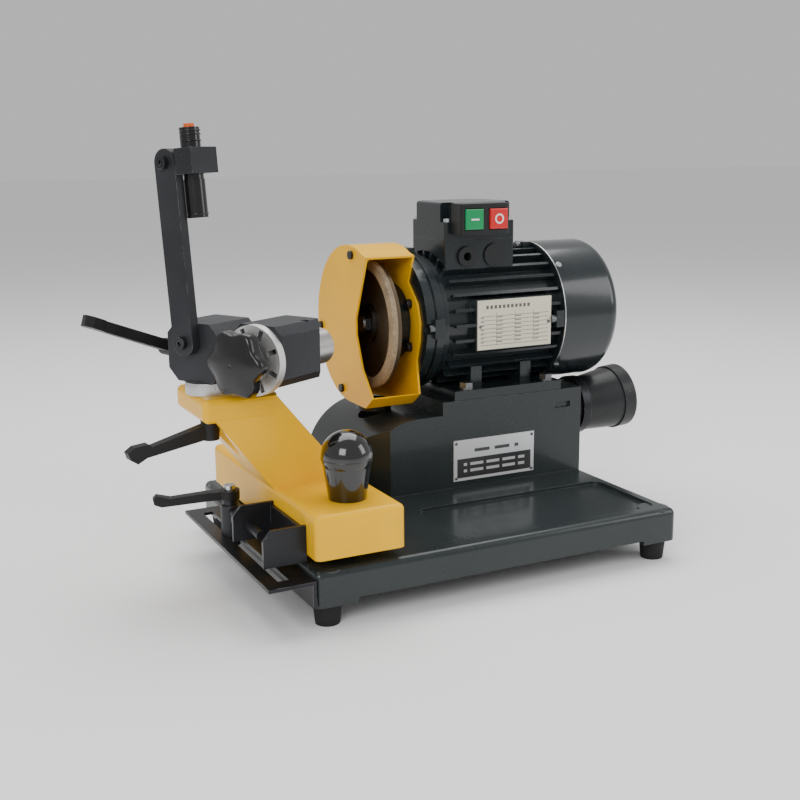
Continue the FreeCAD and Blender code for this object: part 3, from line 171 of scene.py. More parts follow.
def math_node(tree, operation, first, second=None):
    """Arithmetic on sockets or numbers."""
    item = tree.nodes.new("ShaderNodeMath")
    item.operation = operation
    for index, term in enumerate((first, second)):
        if term is None:
            continue
        if isinstance(term, (int, float)):
            item.inputs[index].default_value = term
        else:
            tree.links.new(term, item.inputs[index])
    return item.outputs[0]


def cloud(tree, scale, detail, links, **values):
    """Noise texture of a given scale and detail."""
    noise = add(tree, "ShaderNodeTexNoise", links, **values)
    noise.inputs["Scale"].default_value = scale
    noise.inputs["Detail"].default_value = detail
    return noise


def ranged(tree, source, low, high, start=0.3, stop=0.7):
    """Stretch a value: start to stop becomes low to high, with the ends held."""
    item = add(tree, "ShaderNodeMapRange", {"Value": source})
    for key, value in (("From Min", start), ("From Max", stop), ("To Min", low), ("To Max", high)):
        item.inputs[key].default_value = value
    return item.outputs[0]


def bumped(tree, shader, height, strength, distance, **links):
    """Turn a height into a normal and feed it to the shader."""
    relief = add(tree, "ShaderNodeBump", {"Height": height, **links})
    relief.inputs["Strength"].default_value = strength
    relief.inputs["Distance"].default_value = distance
    tree.links.new(relief.outputs[0], shader.inputs["Normal"])


FLOAT, VECTOR = "NodeSocketFloat", "NodeSocketVector"


# %% Group: soft edges with wear, and a painted highlight on the yellow
def make_edge_group():
    """Edge mask = 1 - (rounded normal . true normal), broken up by noise."""
    group, enter, leave = new_group("soft_edges_wear_and_painted_highlight", [("Width", FLOAT, 0.0006),
                                                        ("Amount", FLOAT, 0.5)],
                                    [("Mask", FLOAT), ("Normal", VECTOR)])
    # The mask lightens edges in patches: worn paint on most finishes, a painted highlight on the
    # yellow.
    bevel = add(group, "ShaderNodeBevel", {"Radius": enter.outputs["Width"]}, samples=6)
    geometry = add(group, "ShaderNodeNewGeometry")
    dot = add(group, "ShaderNodeVectorMath", operation="DOT_PRODUCT")
    group.links.new(bevel.outputs[0], dot.inputs[0])
    group.links.new(geometry.outputs["Normal"], dot.inputs[1])
    edge = math_node(group, "SUBTRACT", 1.0, dot.outputs["Value"])
    place = add(group, "ShaderNodeTexCoord")
    patches = cloud(group, 90, 6, {"Vector": place.outputs["Object"]})
    gate = ranged(group, patches.outputs["Fac"], 0, 1, 0.48, 0.62)
    strong = math_node(group, "MULTIPLY", edge, 7.0)
    broken = math_node(group, "MULTIPLY", strong, gate)
    scaled = math_node(group, "MULTIPLY", broken, enter.outputs["Amount"])
    limited = math_node(group, "MINIMUM", scaled, 1.0)
    group.links.new(limited, leave.inputs["Mask"])
    group.links.new(bevel.outputs[0], leave.inputs["Normal"])
    return group


edge_mask_group_wear_and_highlight = make_edge_group()


# %% Group: skin of a cast or sprayed surface
def make_skin_group():
    """Height = coarse casting waves + fine spray grain; Tone = slow drift of the colour;
    Dust = the few peaks of a fine noise."""
    group, enter, leave = new_group("cast_and_sprayed_skin", [("Coarse", FLOAT, 0.5),
                                                              ("Fine", FLOAT, 0.5)],
                                    [("Height", FLOAT), ("Tone", FLOAT), ("Dust", FLOAT)])
    place = add(group, "ShaderNodeTexCoord")
    coarse, fine, drift, dust = (cloud(group, scale, detail, {"Vector": place.outputs["Object"]})
                                 for scale, detail in ((210, 4), (1400, 2), (14, 5), (620, 3)))
    specks = ranged(group, dust.outputs["Fac"], 0, 1, 0.66, 0.74)
    waves = math_node(group, "MULTIPLY", coarse.outputs["Fac"], enter.outputs["Coarse"])
    grain = math_node(group, "MULTIPLY", fine.outputs["Fac"], enter.outputs["Fine"])
    group.links.new(math_node(group, "ADD", waves, grain), leave.inputs["Height"])
    group.links.new(drift.outputs["Fac"], leave.inputs["Tone"])
    group.links.new(specks, leave.inputs["Dust"])
    return group


skin_group = make_skin_group()


# %% Group: fine rings left by a lathe
def make_ring_group():
    """Height = noise along (distance from the axis + distance along it) * pitch."""
    group, enter, leave = new_group("lathe_rings", [("Place", VECTOR, (0, 0, 0)),
                                                    ("Pitch", FLOAT, 2500.0)],
                                    [("Height", FLOAT), ("Tone", FLOAT)])
    parts = add(group, "ShaderNodeSeparateXYZ", {"Vector": enter.outputs["Place"]})
    y2 = math_node(group, "MULTIPLY", parts.outputs["Y"], parts.outputs["Y"])
    z2 = math_node(group, "MULTIPLY", parts.outputs["Z"], parts.outputs["Z"])
    radius = math_node(group, "SQRT", math_node(group, "ADD", y2, z2))
    total = math_node(group, "ADD", radius, parts.outputs["X"])
    track = math_node(group, "MULTIPLY", total, enter.outputs["Pitch"])
    noise = cloud(group, 1.0, 3, {"W": track}, noise_dimensions="1D")
    group.links.new(noise.outputs["Fac"], leave.inputs["Height"])
    group.links.new(ranged(group, noise.outputs["Fac"], 0, 1), leave.inputs["Tone"])
    return group


ring_group = make_ring_group()
print("node groups:", [g.name for g in bpy.data.node_groups])

# %% [markdown]
# One function then builds every paint, plastic and cast finish from those groups. It takes the
# colour, the colour laid on the edges in patches (worn paint, and on the yellow a painted
# highlight), the sheen and the size of the grain.


# %% A finish for paint, plastic, rubber and plain metal
def start_material(name):
    """A new material with its tree and its shader."""
    material = bpy.data.materials.new(name)
    material.use_nodes = True
    tree = material.node_tree
    return material, tree, tree.nodes["Principled BSDF"]


def use_group(tree, group, **values):
    """Put a node group into a material and set its sockets."""
    item = tree.nodes.new("ShaderNodeGroup")
    item.node_tree = group
    for key, value in values.items():
        item.inputs[key].default_value = value
    return item


def mixed(tree, factor, first, second):
    """Blend two colours by a mask; each is a socket or an (r, g, b)."""
    item = tree.nodes.new("ShaderNodeMix")
    item.data_type = "RGBA"
    tree.links.new(factor, item.inputs["Factor"])
    for label, colour in (("A", first), ("B", second)):
        socket = [s for s in item.inputs if s.name == label and s.type == "RGBA"][0]
        if isinstance(colour, tuple):
            socket.default_value = (*colour, 1)
        else:
            tree.links.new(colour, socket)
    return [s for s in item.outputs if s.type == "RGBA"][0]


DUST_COLOUR = (0.42, 0.4, 0.36)
PAINT_RELIEF, LATHE_RELIEF, GRIT_RELIEF, FOIL_RELIEF = 0.0004, 0.00015, 0.0003, 0.0002


def finish(name, colour, rough, edge_tint_wear_and_highlight=None, edge_amount_wear_and_highlight=0.0, metal=0.0, coat=0.0, coarse=0.4, fine=0.3,
           bump=0.15, drift=0.12, dust=0.0, width=0.0006, gloss=0.3):
    """Paint or moulded finish: drifting colour, grain, soft edges, optional dust and an optional
    patchy edge colour, which is worn paint on most finishes and a painted highlight on the yellow.
    """
    material, tree, shader = start_material(name)
    skin = use_group(tree, skin_group, Coarse=coarse, Fine=fine)
    edge = use_group(tree, edge_mask_group_wear_and_highlight, Width=width, Amount=edge_amount_wear_and_highlight)
    dark = tuple(c * (1 - drift) for c in colour)
    light = tuple(min(1.0, c * (1 + drift) + drift * 0.008) for c in colour)
    tone = ranged(tree, skin.outputs["Tone"], 0, 1)
    base = mixed(tree, tone, dark, light)
    if dust:
        base = mixed(tree, math_node(tree, "MULTIPLY", skin.outputs["Dust"], dust), base, DUST_COLOUR)
    # Edge colour in patches: a painted highlight on the yellow finishes, worn paint on the others.
    if edge_tint_wear_and_highlight:
        base = mixed(tree, edge.outputs["Mask"], base, edge_tint_wear_and_highlight)
    tree.links.new(base, shader.inputs["Base Color"])
    tree.links.new(ranged(tree, skin.outputs["Tone"], rough * 0.85, rough * 1.15),
                   shader.inputs["Roughness"])
    shader.inputs["Metallic"].default_value = metal
    shader.inputs["Coat Weight"].default_value = coat
    shader.inputs["Coat Roughness"].default_value = 0.12
    shader.inputs["Specular IOR Level"].default_value = gloss
    bumped(tree, shader, skin.outputs["Height"], bump, PAINT_RELIEF, Normal=edge.outputs["Normal"])
    return material


# %% A finish for turned metal
def turned(name, colour, rough, centre, yaw=0.0, pitch=2500.0, bump=0.25, tilt=False):
    """Bright metal with lathe rings about an axis through centre, turned by yaw about Z."""
    material, tree, shader = start_material(name)
    place = add(tree, "ShaderNodeTexCoord")
    shift = add(tree, "ShaderNodeVectorMath", {0: place.outputs["Object"]}, operation="SUBTRACT")
    shift.inputs[1].default_value = centre
    turn = add(tree, "ShaderNodeMapping", {"Vector": shift.outputs[0]}, vector_type="POINT")
    turn.inputs["Rotation"].default_value = (0, math.pi / 2 if tilt else 0, -yaw)
    rings = use_group(tree, ring_group, Pitch=pitch)
    tree.links.new(turn.outputs[0], rings.inputs["Place"])
    skin = use_group(tree, skin_group, Coarse=0.3, Fine=0.3)
    edge = use_group(tree, edge_mask_group_wear_and_highlight, Width=0.0005, Amount=0.6)
    dark = tuple(c * 0.72 for c in colour)
    base = mixed(tree, ranged(tree, skin.outputs["Tone"], 0, 1), dark, colour)
    base = mixed(tree, edge.outputs["Mask"], base, tuple(min(1, c * 1.3) for c in colour))
    tree.links.new(base, shader.inputs["Base Color"])
    tree.links.new(ranged(tree, rings.outputs["Tone"], rough * 0.8, rough * 1.3, 0, 1),
                   shader.inputs["Roughness"])
    shader.inputs["Metallic"].default_value = 1.0
    bumped(tree, shader, rings.outputs["Height"], bump, LATHE_RELIEF, Normal=edge.outputs["Normal"])
    return material


# %% [markdown]
# The motor axis and the spindle axis come from the joints, so the lathe rings are centred on the
# real turning centres.

# %% Axes of the machine
joint = {j["name"]: j for j in frame["joints"]}
shaft_point = np.array(joint["rotor_spin"]["pos_m"])
spindle_point = np.array(joint["spindle_index"]["pos_m"])
swivel_point = np.array(joint["head_swivel"]["pos_m"])
spindle_axis = np.array(joint["spindle_index"]["axis"])
head_yaw = math.atan2(spindle_axis[1], spindle_axis[0])
print("head yaw", round(math.degrees(head_yaw), 1))

# %% [markdown]
# Now the finishes themselves. The base and motor are dark enamel with a green cast, the arm and
# guard a warm yellow with a painted highlight: a lighter yellow in broken patches along the edges.
# Cast pieces get more waviness than sheet ones.

# %% Paints and platings
YELLOW = (0.86, 0.46, 0.0)
# Lighter yellow for the edges of the arm and guard: a painted highlight.
EDGE_HIGHLIGHT_YELLOW = (0.95, 0.58, 0.03)
MOTOR_BLACK = (0.011, 0.016, 0.018)
DULL_BLACK = (0.05, 0.05, 0.05)
base_paint = finish("base_enamel", (0.018, 0.024, 0.025), 0.3, edge_tint_wear_and_highlight=(0.09, 0.1, 0.1), edge_amount_wear_and_highlight=0.5,
                    coat=0.25, coarse=0.55, fine=0.15, bump=0.16, dust=0.12, width=0.001)
# On the two yellow finishes the lighter edge colour is a painted highlight, not worn paint.
arm_paint = finish("yellow_enamel_on_iron", YELLOW, 0.3, edge_tint_wear_and_highlight=EDGE_HIGHLIGHT_YELLOW, edge_amount_wear_and_highlight=0.35,
                   coat=0.05, coarse=0.5, fine=0.1, bump=0.12, drift=0.06, width=0.0012, gloss=0.2)
guard_paint = finish("yellow_enamel_on_sheet", YELLOW, 0.34, edge_tint_wear_and_highlight=EDGE_HIGHLIGHT_YELLOW, edge_amount_wear_and_highlight=0.4,
                     coat=0.04, coarse=0.2, fine=0.2, bump=0.1, drift=0.07, width=0.0005, gloss=0.2)
motor_paint = finish("motor_enamel", MOTOR_BLACK, 0.27, edge_tint_wear_and_highlight=(0.08, 0.09, 0.1),
                     edge_amount_wear_and_highlight=0.55, coat=0.35, coarse=0.45, fine=0.15, bump=0.14, dust=0.08)
cover_paint = finish("fan_cover_enamel", MOTOR_BLACK, 0.24, edge_tint_wear_and_highlight=(0.1, 0.12, 0.14),
                     edge_amount_wear_and_highlight=0.3, coat=0.5, coarse=0.3, fine=0.1, bump=0.08, dust=0.06)
rubber = finish("foot_rubber", (0.012, 0.012, 0.012), 0.72, edge_tint_wear_and_highlight=(0.04, 0.04, 0.04), edge_amount_wear_and_highlight=0.4,
                coarse=0.2, fine=0.8, bump=0.3, drift=0.3)
# Zinc plating for the screws, also used for the painted highlight bead on the fan cover's rim.
zinc_and_painted_highlight = finish("zinc_plating", (0.6, 0.61, 0.62), 0.28, edge_tint_wear_and_highlight=(0.85, 0.85, 0.85), edge_amount_wear_and_highlight=0.8, metal=1.0,
              coarse=0.2, fine=0.3, bump=0.1, drift=0.2, width=0.0003)
dull_zinc = finish("dull_zinc_plating", (0.16, 0.165, 0.17), 0.38, edge_tint_wear_and_highlight=(0.5, 0.5, 0.5), edge_amount_wear_and_highlight=0.8,
                   metal=1.0, coarse=0.2, fine=0.5, bump=0.15, drift=0.3, width=0.0003)
blackened = finish("black_oxide", (0.035, 0.036, 0.04), 0.36, edge_tint_wear_and_highlight=(0.3, 0.3, 0.31), edge_amount_wear_and_highlight=0.8,
                   metal=0.7, coarse=0.3, fine=0.4, bump=0.14, drift=0.3, width=0.0005)
phosphate = finish("phosphated_block", (0.03, 0.032, 0.036), 0.42, edge_tint_wear_and_highlight=(0.2, 0.2, 0.21),
                   edge_amount_wear_and_highlight=0.9, metal=0.35, coarse=0.3, fine=0.7, bump=0.2, drift=0.25, dust=0.08)
powder = finish("lever_powder_coat", (0.01, 0.01, 0.011), 0.45, edge_tint_wear_and_highlight=(0.09, 0.09, 0.09),
                edge_amount_wear_and_highlight=0.5, coarse=0.5, fine=1.0, bump=0.3, width=0.0009)
phenolic = finish("phenolic_knob", (0.004, 0.004, 0.004), 0.1, coat=1.0, coarse=0.06, fine=0.0,
                  bump=0.03, drift=0.3, dust=0.02, width=0.0008)
phenolic_satin = finish("phenolic_star_knob", (0.006, 0.006, 0.0065), 0.28, edge_tint_wear_and_highlight=DULL_BLACK,
                        edge_amount_wear_and_highlight=0.25, coat=0.4, coarse=0.1, fine=0.15, bump=0.05, drift=0.2)
moulded = finish("moulded_black", (0.014, 0.015, 0.016), 0.42, edge_tint_wear_and_highlight=DULL_BLACK, edge_amount_wear_and_highlight=0.3,
                 coarse=0.2, fine=0.9, bump=0.2, drift=0.2)
lamp_finish = finish("anodised_torch", (0.01, 0.01, 0.011), 0.22, edge_tint_wear_and_highlight=(0.1, 0.1, 0.1), edge_amount_wear_and_highlight=0.5,
                     metal=0.3, coat=0.5, coarse=0.1, fine=0.3, bump=0.06, drift=0.2)
duct = finish("duct_plastic", (0.012, 0.013, 0.014), 0.4, edge_tint_wear_and_highlight=(0.05, 0.05, 0.055), edge_amount_wear_and_highlight=0.4,
              coat=0.1, coarse=0.3, fine=0.5, bump=0.15, drift=0.25, dust=0.15)
green = finish("start_green", (0.005, 0.27, 0.085), 0.22, coat=0.5, coarse=0.1, fine=0.1, bump=0.04,
               drift=0.08)
red = finish("stop_red", (0.62, 0.018, 0.02), 0.22, coat=0.5, coarse=0.1, fine=0.1, bump=0.04,
             drift=0.08)
orange = finish("torch_button", (0.8, 0.14, 0.02), 0.4, coarse=0.2, fine=0.6, bump=0.15)
white_ink = finish("white_ink", (0.86, 0.86, 0.84), 0.5, coarse=0.1, fine=0.4, bump=0.05, drift=0.05)
# Black ink for the printed scale, also used as painted shade in the screw sockets.
black_ink_and_painted_shade = finish("black_ink_and_painted_shade", (0.01, 0.01, 0.01), 0.5, coarse=0.1, fine=0.4, bump=0.05)
copper = finish("varnished_copper", (0.5, 0.2, 0.07), 0.3, metal=0.8, coat=0.4, coarse=1.0, fine=0.5,
                bump=0.4, drift=0.4)
steel_sheet = finish("lamination_steel", (0.35, 0.35, 0.36), 0.4, metal=1.0, coarse=0.3, fine=0.9,
                     bump=0.2, drift=0.2)

# %% Turned metals
bright_shaft = turned("turned_shaft", (0.72, 0.72, 0.72), 0.22, shaft_point)
wheel_plate = turned("turned_wheel_plate", (0.16, 0.12, 0.08), 0.5, shaft_point, pitch=1500)
dark_flange = turned("oiled_flange", (0.1, 0.1, 0.105), 0.35, shaft_point, pitch=1800)
spindle_steel = turned("spindle_steel", (0.55, 0.54, 0.53), 0.34, spindle_point, head_yaw, 2200)
disc_steel = turned("index_disc_steel", (0.86, 0.85, 0.84), 0.5, spindle_point, head_yaw, 1700)
dial_metal = turned("dial_metal", (0.6, 0.6, 0.61), 0.36, swivel_point, 0.0, 2600, 0.12, tilt=True)
print(len(bpy.data.materials), "materials")

# %% [markdown]
# The rim of the wheel is bonded grit: separate grains of light and dark mineral in resin. Cells of
# a Voronoi pattern give each grain its own colour and height.


# %% Bonded grit
def make_grit():
    """Grain colour is picked by cell; height is the distance to the cell's centre."""
    material, tree, shader = start_material("bonded_grit")
    place = add(tree, "ShaderNodeTexCoord")
    cells = add(tree, "ShaderNodeTexVoronoi", {"Vector": place.outputs["Object"]})
    cells.inputs["Scale"].default_value = 1500
    drift = add(tree, "ShaderNodeTexNoise", {"Vector": place.outputs["Object"]})
    drift.inputs["Scale"].default_value = 60
    pick = add(tree, "ShaderNodeSeparateColor", {"Color": cells.outputs["Color"]})
    grain = mixed(tree, pick.outputs[0], (0.2, 0.145, 0.085), (0.42, 0.32, 0.2))
    loaded = ranged(tree, drift.outputs["Fac"], 0, 0.45, 0.45, 0.7)
    tree.links.new(mixed(tree, loaded, grain, (0.09, 0.07, 0.05)), shader.inputs["Base Color"])
    tree.links.new(ranged(tree, pick.outputs[1], 0.55, 0.9, 0, 1), shader.inputs["Roughness"])
    bumped(tree, shader, cells.outputs["Distance"], 0.6, GRIT_RELIEF)
    return material


grit = make_grit()

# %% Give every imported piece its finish
FINISHES = {
    base_paint: ["base_casting", "guide_rail"],
    arm_paint: ["arm_casting"],
    guard_paint: ["guard_shell", "guard_cover"],
    motor_paint: ["motor_housing", "front_endshield", "rear_endshield", "terminal_box",
                  "terminal_box_lid"],
    cover_paint: ["fan_cover"],
    rubber: ["rubber_feet"],
    zinc_and_painted_highlight: ["fan_cover_screws", "lid_screws", "stop_screw"],
    dull_zinc: ["endshield_bolts", "motor_foot_bolts"],
    blackened: ["stop_bracket", "stop_post", "stop_rod", "stop_nuts", "u_bracket", "guard_screws",
                "lamp_screws", "nose_screw", "dust_clamp_band"],
    phosphate: ["head_block", "spindle_housing", "lamp_bar", "lamp_block"],
    powder: ["swivel_lever", "head_lever", "stop_lever"],
    phenolic: ["arm_knob", "star_knob"],
    moulded: ["cable_gland", "blanking_plug", "switch_bezel", "cooling_fan"],
    lamp_finish: ["lamp_body"],
    duct: ["dust_duct", "dust_outlet"],
    green: ["start_button"],
    red: ["stop_button"],
    orange: ["lamp_button"],
    copper: ["stator_windings"],
    steel_sheet: ["stator_core", "rotor_core"],
    bright_shaft: ["motor_shaft", "bearings", "tilt_shaft"],
    wheel_plate: ["wheel_body"],
    dark_flange: ["wheel_hub", "wheel_nut"],
    spindle_steel: ["spindle"],
    disc_steel: ["index_disc"],
    dial_metal: ["protractor_ring"],
    grit: ["abrasive_rim"],
}


def wear_material(piece, material):
    """Give a piece one material and no other."""
    piece.data.materials.clear()
    piece.data.materials.append(material)


for material, labels in FINISHES.items():
    for label in labels:
        wear_material(nodes[label], material)
print(sum(len(v) for v in FINISHES.values()), "pieces finished")

# %% [markdown]
# The two foil plates are printed sheet. Rows of plain rules and short dashes stand for a rating
# table and a maker's panel, with no words. The pattern is worked out from Object coordinates:
# a line is where the fraction of height times the number of rows is small.


# %% Printed foil
def printed_foil(name, corner, size, base, ink, panel, rows, columns):
    """With a panel: a dark lower part with two rows of light dashes and one dark row above it.
    Without: a table of rules and columns, a short dash in each cell and a row of title dashes."""
    material, tree, shader = start_material(name)
    place = add(tree, "ShaderNodeTexCoord")
    part = add(tree, "ShaderNodeSeparateXYZ", {"Vector": place.outputs["Object"]})
    across = math_node(tree, "DIVIDE",
                       math_node(tree, "SUBTRACT", part.outputs["X"], float(corner[0])), size[0])
    upward = math_node(tree, "DIVIDE",
                       math_node(tree, "SUBTRACT", part.outputs["Z"], float(corner[1])), size[1])

    def both(first, second):
        """Where both masks are on."""
        return math_node(tree, "MULTIPLY", first, second)

    def either(first, second):
        """Where one mask or the other is on."""
        return math_node(tree, "MAXIMUM", first, second)

    def between(source, low, high):
        """Where a value lies between two limits."""
        above = math_node(tree, "GREATER_THAN", source, low)
        return both(above, math_node(tree, "LESS_THAN", source, high))

    def rules(source, count, thin, shift=0.0):
        """Stripes: on where the fraction of source * count + shift is under thin."""
        phase = math_node(tree, "ADD", math_node(tree, "MULTIPLY", source, count), shift)
        return math_node(tree, "LESS_THAN", math_node(tree, "FRACT", phase), thin)

    inside = both(between(across, 0.04, 0.96), between(upward, 0.07, 0.93))
    skin = use_group(tree, skin_group, Coarse=0.2, Fine=0.5)
    if panel:
        cover = mixed(tree, both(inside, between(upward, 0.07, panel)), base, ink)
        lines = math_node(tree, "ADD", between(upward, 0.2, 0.27), between(upward, 0.36, 0.43))
        light = both(both(lines, rules(across, columns, 0.8)), between(across, 0.12, 0.88))
        cover = mixed(tree, light, cover, (0.6, 0.6, 0.6))
        rule = both(between(upward, 0.68, 0.76), between(across, 0.2, 0.8))
        cover = mixed(tree, both(rule, rules(across, columns - 1, 0.75)), cover, (0.05, 0.055, 0.06))
    else:
        table = either(rules(upward, rows, 0.12), rules(across, columns, 0.02))
        table = both(table, between(upward, 0.08, 0.74))
        title = both(between(upward, 0.82, 0.89), both(between(across, 0.1, 0.72),
                                                       rules(across, 18.0, 0.62)))
        entry = both(rules(upward, rows, 0.22, 0.35), rules(across, columns, 0.34))
        entry = both(entry, between(upward, 0.1, 0.72))
        cover = mixed(tree, both(inside, either(either(table, title), entry)), base, ink)
    smudge = ranged(tree, skin.outputs["Tone"], 0.0, 0.18)
    tree.links.new(mixed(tree, smudge, cover, (0.3, 0.28, 0.24)), shader.inputs["Base Color"])
    tree.links.new(ranged(tree, skin.outputs["Tone"], 0.28, 0.42), shader.inputs["Roughness"])
    shader.inputs["Metallic"].default_value = 0.35
    bumped(tree, shader, skin.outputs["Height"], 0.08, FOIL_RELIEF)
    return material


def foil_for(label, **kinds):
    """Printed foil fitted to the face of a plate."""
    low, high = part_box(label)
    return printed_foil(label + "_foil", (low.x, low.z), (high.x - low.x, high.z - low.z), **kinds)


wear_material(nodes["nameplate"], foil_for("nameplate", base=(0.74, 0.7, 0.55), ink=(0.1, 0.09, 0.08),
                                           panel=0, rows=12.0, columns=4.0))
wear_material(nodes["label_plate"], foil_for("label_plate", base=(0.66, 0.67, 0.69),
                                             ink=(0.02, 0.022, 0.026), panel=0.54, rows=8.0,
                                             columns=5.0))

# %% [markdown]
# Domed drive rivets hold the plates: the nameplate by its two ends at mid height, the label plate
# by its four corners. A rivet's profile is half a lens on a flat seat.


# %% Rivets on the plates
AXIS_GAP = 1e-5
RIVET_RADIUS, RIVET_CROWN, RIVET_SEAT = 0.0016, 0.0008, -0.0004


def rivet(centre):
    """Profile: a quarter ellipse from the rim to the crown, closed behind."""
    t = np.linspace(0, np.pi / 2, 7)
    dome = np.stack([RIVET_RADIUS * np.cos(t) + AXIS_GAP, RIVET_CROWN * np.sin(t)], -1)
    profile = np.concatenate([[[AXIS_GAP, RIVET_SEAT], [RIVET_RADIUS, RIVET_SEAT]], dome])
    return lathe("rivet", centre, (0, -1, 0), profile, 20)


def plate_rivets(label, inset, heights):
    """Rivets at both ends of a plate, at the given parts of its height."""
    low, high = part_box(label)
    spots = [(x, low.y, low.z + part * (high.z - low.z)) for x in (low.x + inset, high.x - inset)
             for part in heights]
    piece = joined(label + "_rivets", [rivet(s) for s in spots], smooth=True)
    wear_material(piece, dull_zinc)
    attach(piece, "base")
    return piece


print([plate_rivets(*p).name for p in (("nameplate", 0.003, (0.47,)),
                                       ("label_plate", 0.0026, (0.07, 0.93)))])

# %% [markdown]
# The push buttons carry the usual white signs: a bar to start and a ring to stop. Both stand
# 0.15 mm proud of the button's face and ride with the button as it is pressed.

# %% Signs on the push buttons
SIGN_PROUD = 0.00015
BAR_LENGTH, BAR_HEIGHT = 0.0085, 0.0016
RING_INNER, RING_OUTER, RING_SEAT = 0.0032, 0.0047, -0.0002
low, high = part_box("start_button")
bar_at = np.array([[(low.x + high.x) / 2, low.y, (low.z + high.z) / 2]])
start_sign = bars("start_sign", bar_at, [[1, 0, 0]], [[0, 1, 0]], [[0, 0, 1]],
                  [[BAR_LENGTH, 2 * SIGN_PROUD, BAR_HEIGHT]])
wear_material(start_sign, white_ink)
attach(start_sign, "start_button")
low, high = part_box("stop_button")
stop_sign = lathe("stop_sign", ((low.x + high.x) / 2, low.y, (low.z + high.z) / 2), (0, -1, 0),
                  [(RING_INNER, RING_SEAT), (RING_OUTER, RING_SEAT), (RING_OUTER, SIGN_PROUD),
                   (RING_INNER, SIGN_PROUD)], 48, smooth=False)
wear_material(stop_sign, white_ink)
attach(stop_sign, "stop_button")
print("signs", start_sign.name, stop_sign.name)

# %% [markdown]
# Round the protractor ring runs a scale: a short tick every five degrees, a longer one every ten
# and the longest every thirty. All ticks are made in one array of little bars set tangent to the
# ring.


# %% Scale on the protractor ring
TICK_THICK, TICK_WIDE, TICK_GAP = 0.00012, 0.00024, 0.0005
TALLEST, TALL, SHORT = 0.0045, 0.0033, 0.0022


def ring_scale():
    """Tick i stands at angle 5*i; its height steps with how round the number is."""
    low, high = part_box("protractor_ring")
    radius = (high.x - low.x) / 2
    step = np.arange(0, 360, 5)
    angle = np.radians(step) + head_yaw
    out = np.stack([np.cos(angle), np.sin(angle), 0 * angle], -1)
    side = np.stack([-np.sin(angle), np.cos(angle), 0 * angle], -1)
    up = np.repeat([[0.0, 0.0, 1.0]], len(step), 0)
    tall = np.where(step % 30 == 0, TALLEST, np.where(step % 10 == 0, TALL, SHORT))
    centre = np.array([swivel_point[0], swivel_point[1], high.z]) + out * radius
    centre[:, 2] -= TICK_GAP + tall / 2
    size = np.stack([np.full(len(step), TICK_THICK), np.full(len(step), TICK_WIDE), tall], -1)
    piece = bars("ring_scale", centre, out, side, up, size)
    wear_material(piece, black_ink_and_painted_shade)
    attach(piece, "head")
    return len(step)


print("ticks", ring_scale())

# %% [markdown]
# Socket screws show a dark hexagon in the head, the shade inside the recess. It is painted: a
# six-sided turned profile in black, sunk like a shallow cup with its rim at the head's face, stands
# in for the shaded socket without cutting the imported piece.


# %% Painted shade in the sockets of the screw heads
SOCKET_RIM, SOCKET_PROUD, SOCKET_FLOOR, SOCKET_BACK = 0.0002, 0.0001, -0.0001, -0.0003


# Each cup is coloured black as painted shade for the recess of the socket.
def socket(centre, axis, across):
    """Six-sided cup: rim just above the face, floor a little below it."""
    r = across / math.sqrt(3)
    profile = [(r + SOCKET_RIM, SOCKET_BACK), (r + SOCKET_RIM, SOCKET_PROUD), (r, SOCKET_PROUD),
               (r * 0.9, SOCKET_FLOOR), (AXIS_GAP, SOCKET_FLOOR), (AXIS_GAP, SOCKET_BACK)]
    return lathe("socket", centre, axis, profile, 6, smooth=False)


def solids_of(label):
    """Low and high corner of each loose solid of a node, found from linked vertices: every point
    takes the lowest mark among its triangle until nothing changes."""
    mesh = nodes[label].data
    co = points_of(mesh)
    _, near = np.unique(np.round(co, 6), axis=0, return_inverse=True)
    near = near.reshape(-1)
    tri = np.array([p.vertices[:3] for p in mesh.polygons])
    mark = np.arange(near.max() + 1)
    for _ in range(400):
        before = mark.copy()
        lowest = mark[near[tri]].min(1)
        for k in range(3):
            np.minimum.at(mark, near[tri[:, k]], lowest)
        if np.array_equal(before, mark):
            break
    groups = [co[mark[near] == m] for m in np.unique(mark)]
    return [(g.min(0), g.max(0)) for g in groups]


def socket_shade_for(label, axis, body, across, pick):
    """A black socket of painted shade on the face of every screw of a node; pick finds that face from
    its corners.
    """
    spots = [pick(a, b) for a, b in solids_of(label)]
    piece = joined(label + "_socket_shade", [socket(s, axis, across) for s in spots])
    # Black on the cups is painted shade for the deep hexagon recess.
    wear_material(piece, black_ink_and_painted_shade)
    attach(piece, body)
    return len(spots)


def left_face(a, b):
    """Middle of the left face of a box given by its low and high corners."""
    return (a[0], (a[1] + b[1]) / 2, (a[2] + b[2]) / 2)


def top_face(a, b):
    """Middle of the top face of a box given by its low and high corners."""
    return ((a[0] + b[0]) / 2, (a[1] + b[1]) / 2, b[2])


print("sockets", socket_shade_for("guard_screws", (-1, 0, 0), "base", 0.004, left_face),
      socket_shade_for("endshield_bolts", (-1, 0, 0), "base", 0.004, left_face),
      socket_shade_for("lid_screws", (0, 0, 1), "base", 0.0035, top_face),
      socket_shade_for("stop_screw", (0, 0, 1), "stop_post", 0.005, top_face))

# %% [markdown]
# Each rubber foot is held from below by a pan-head screw whose head sits up inside the foot.


# %% Screws in the feet
FOOT_HEAD_RADIUS, FOOT_HEAD_UP = 0.0052, 0.0042


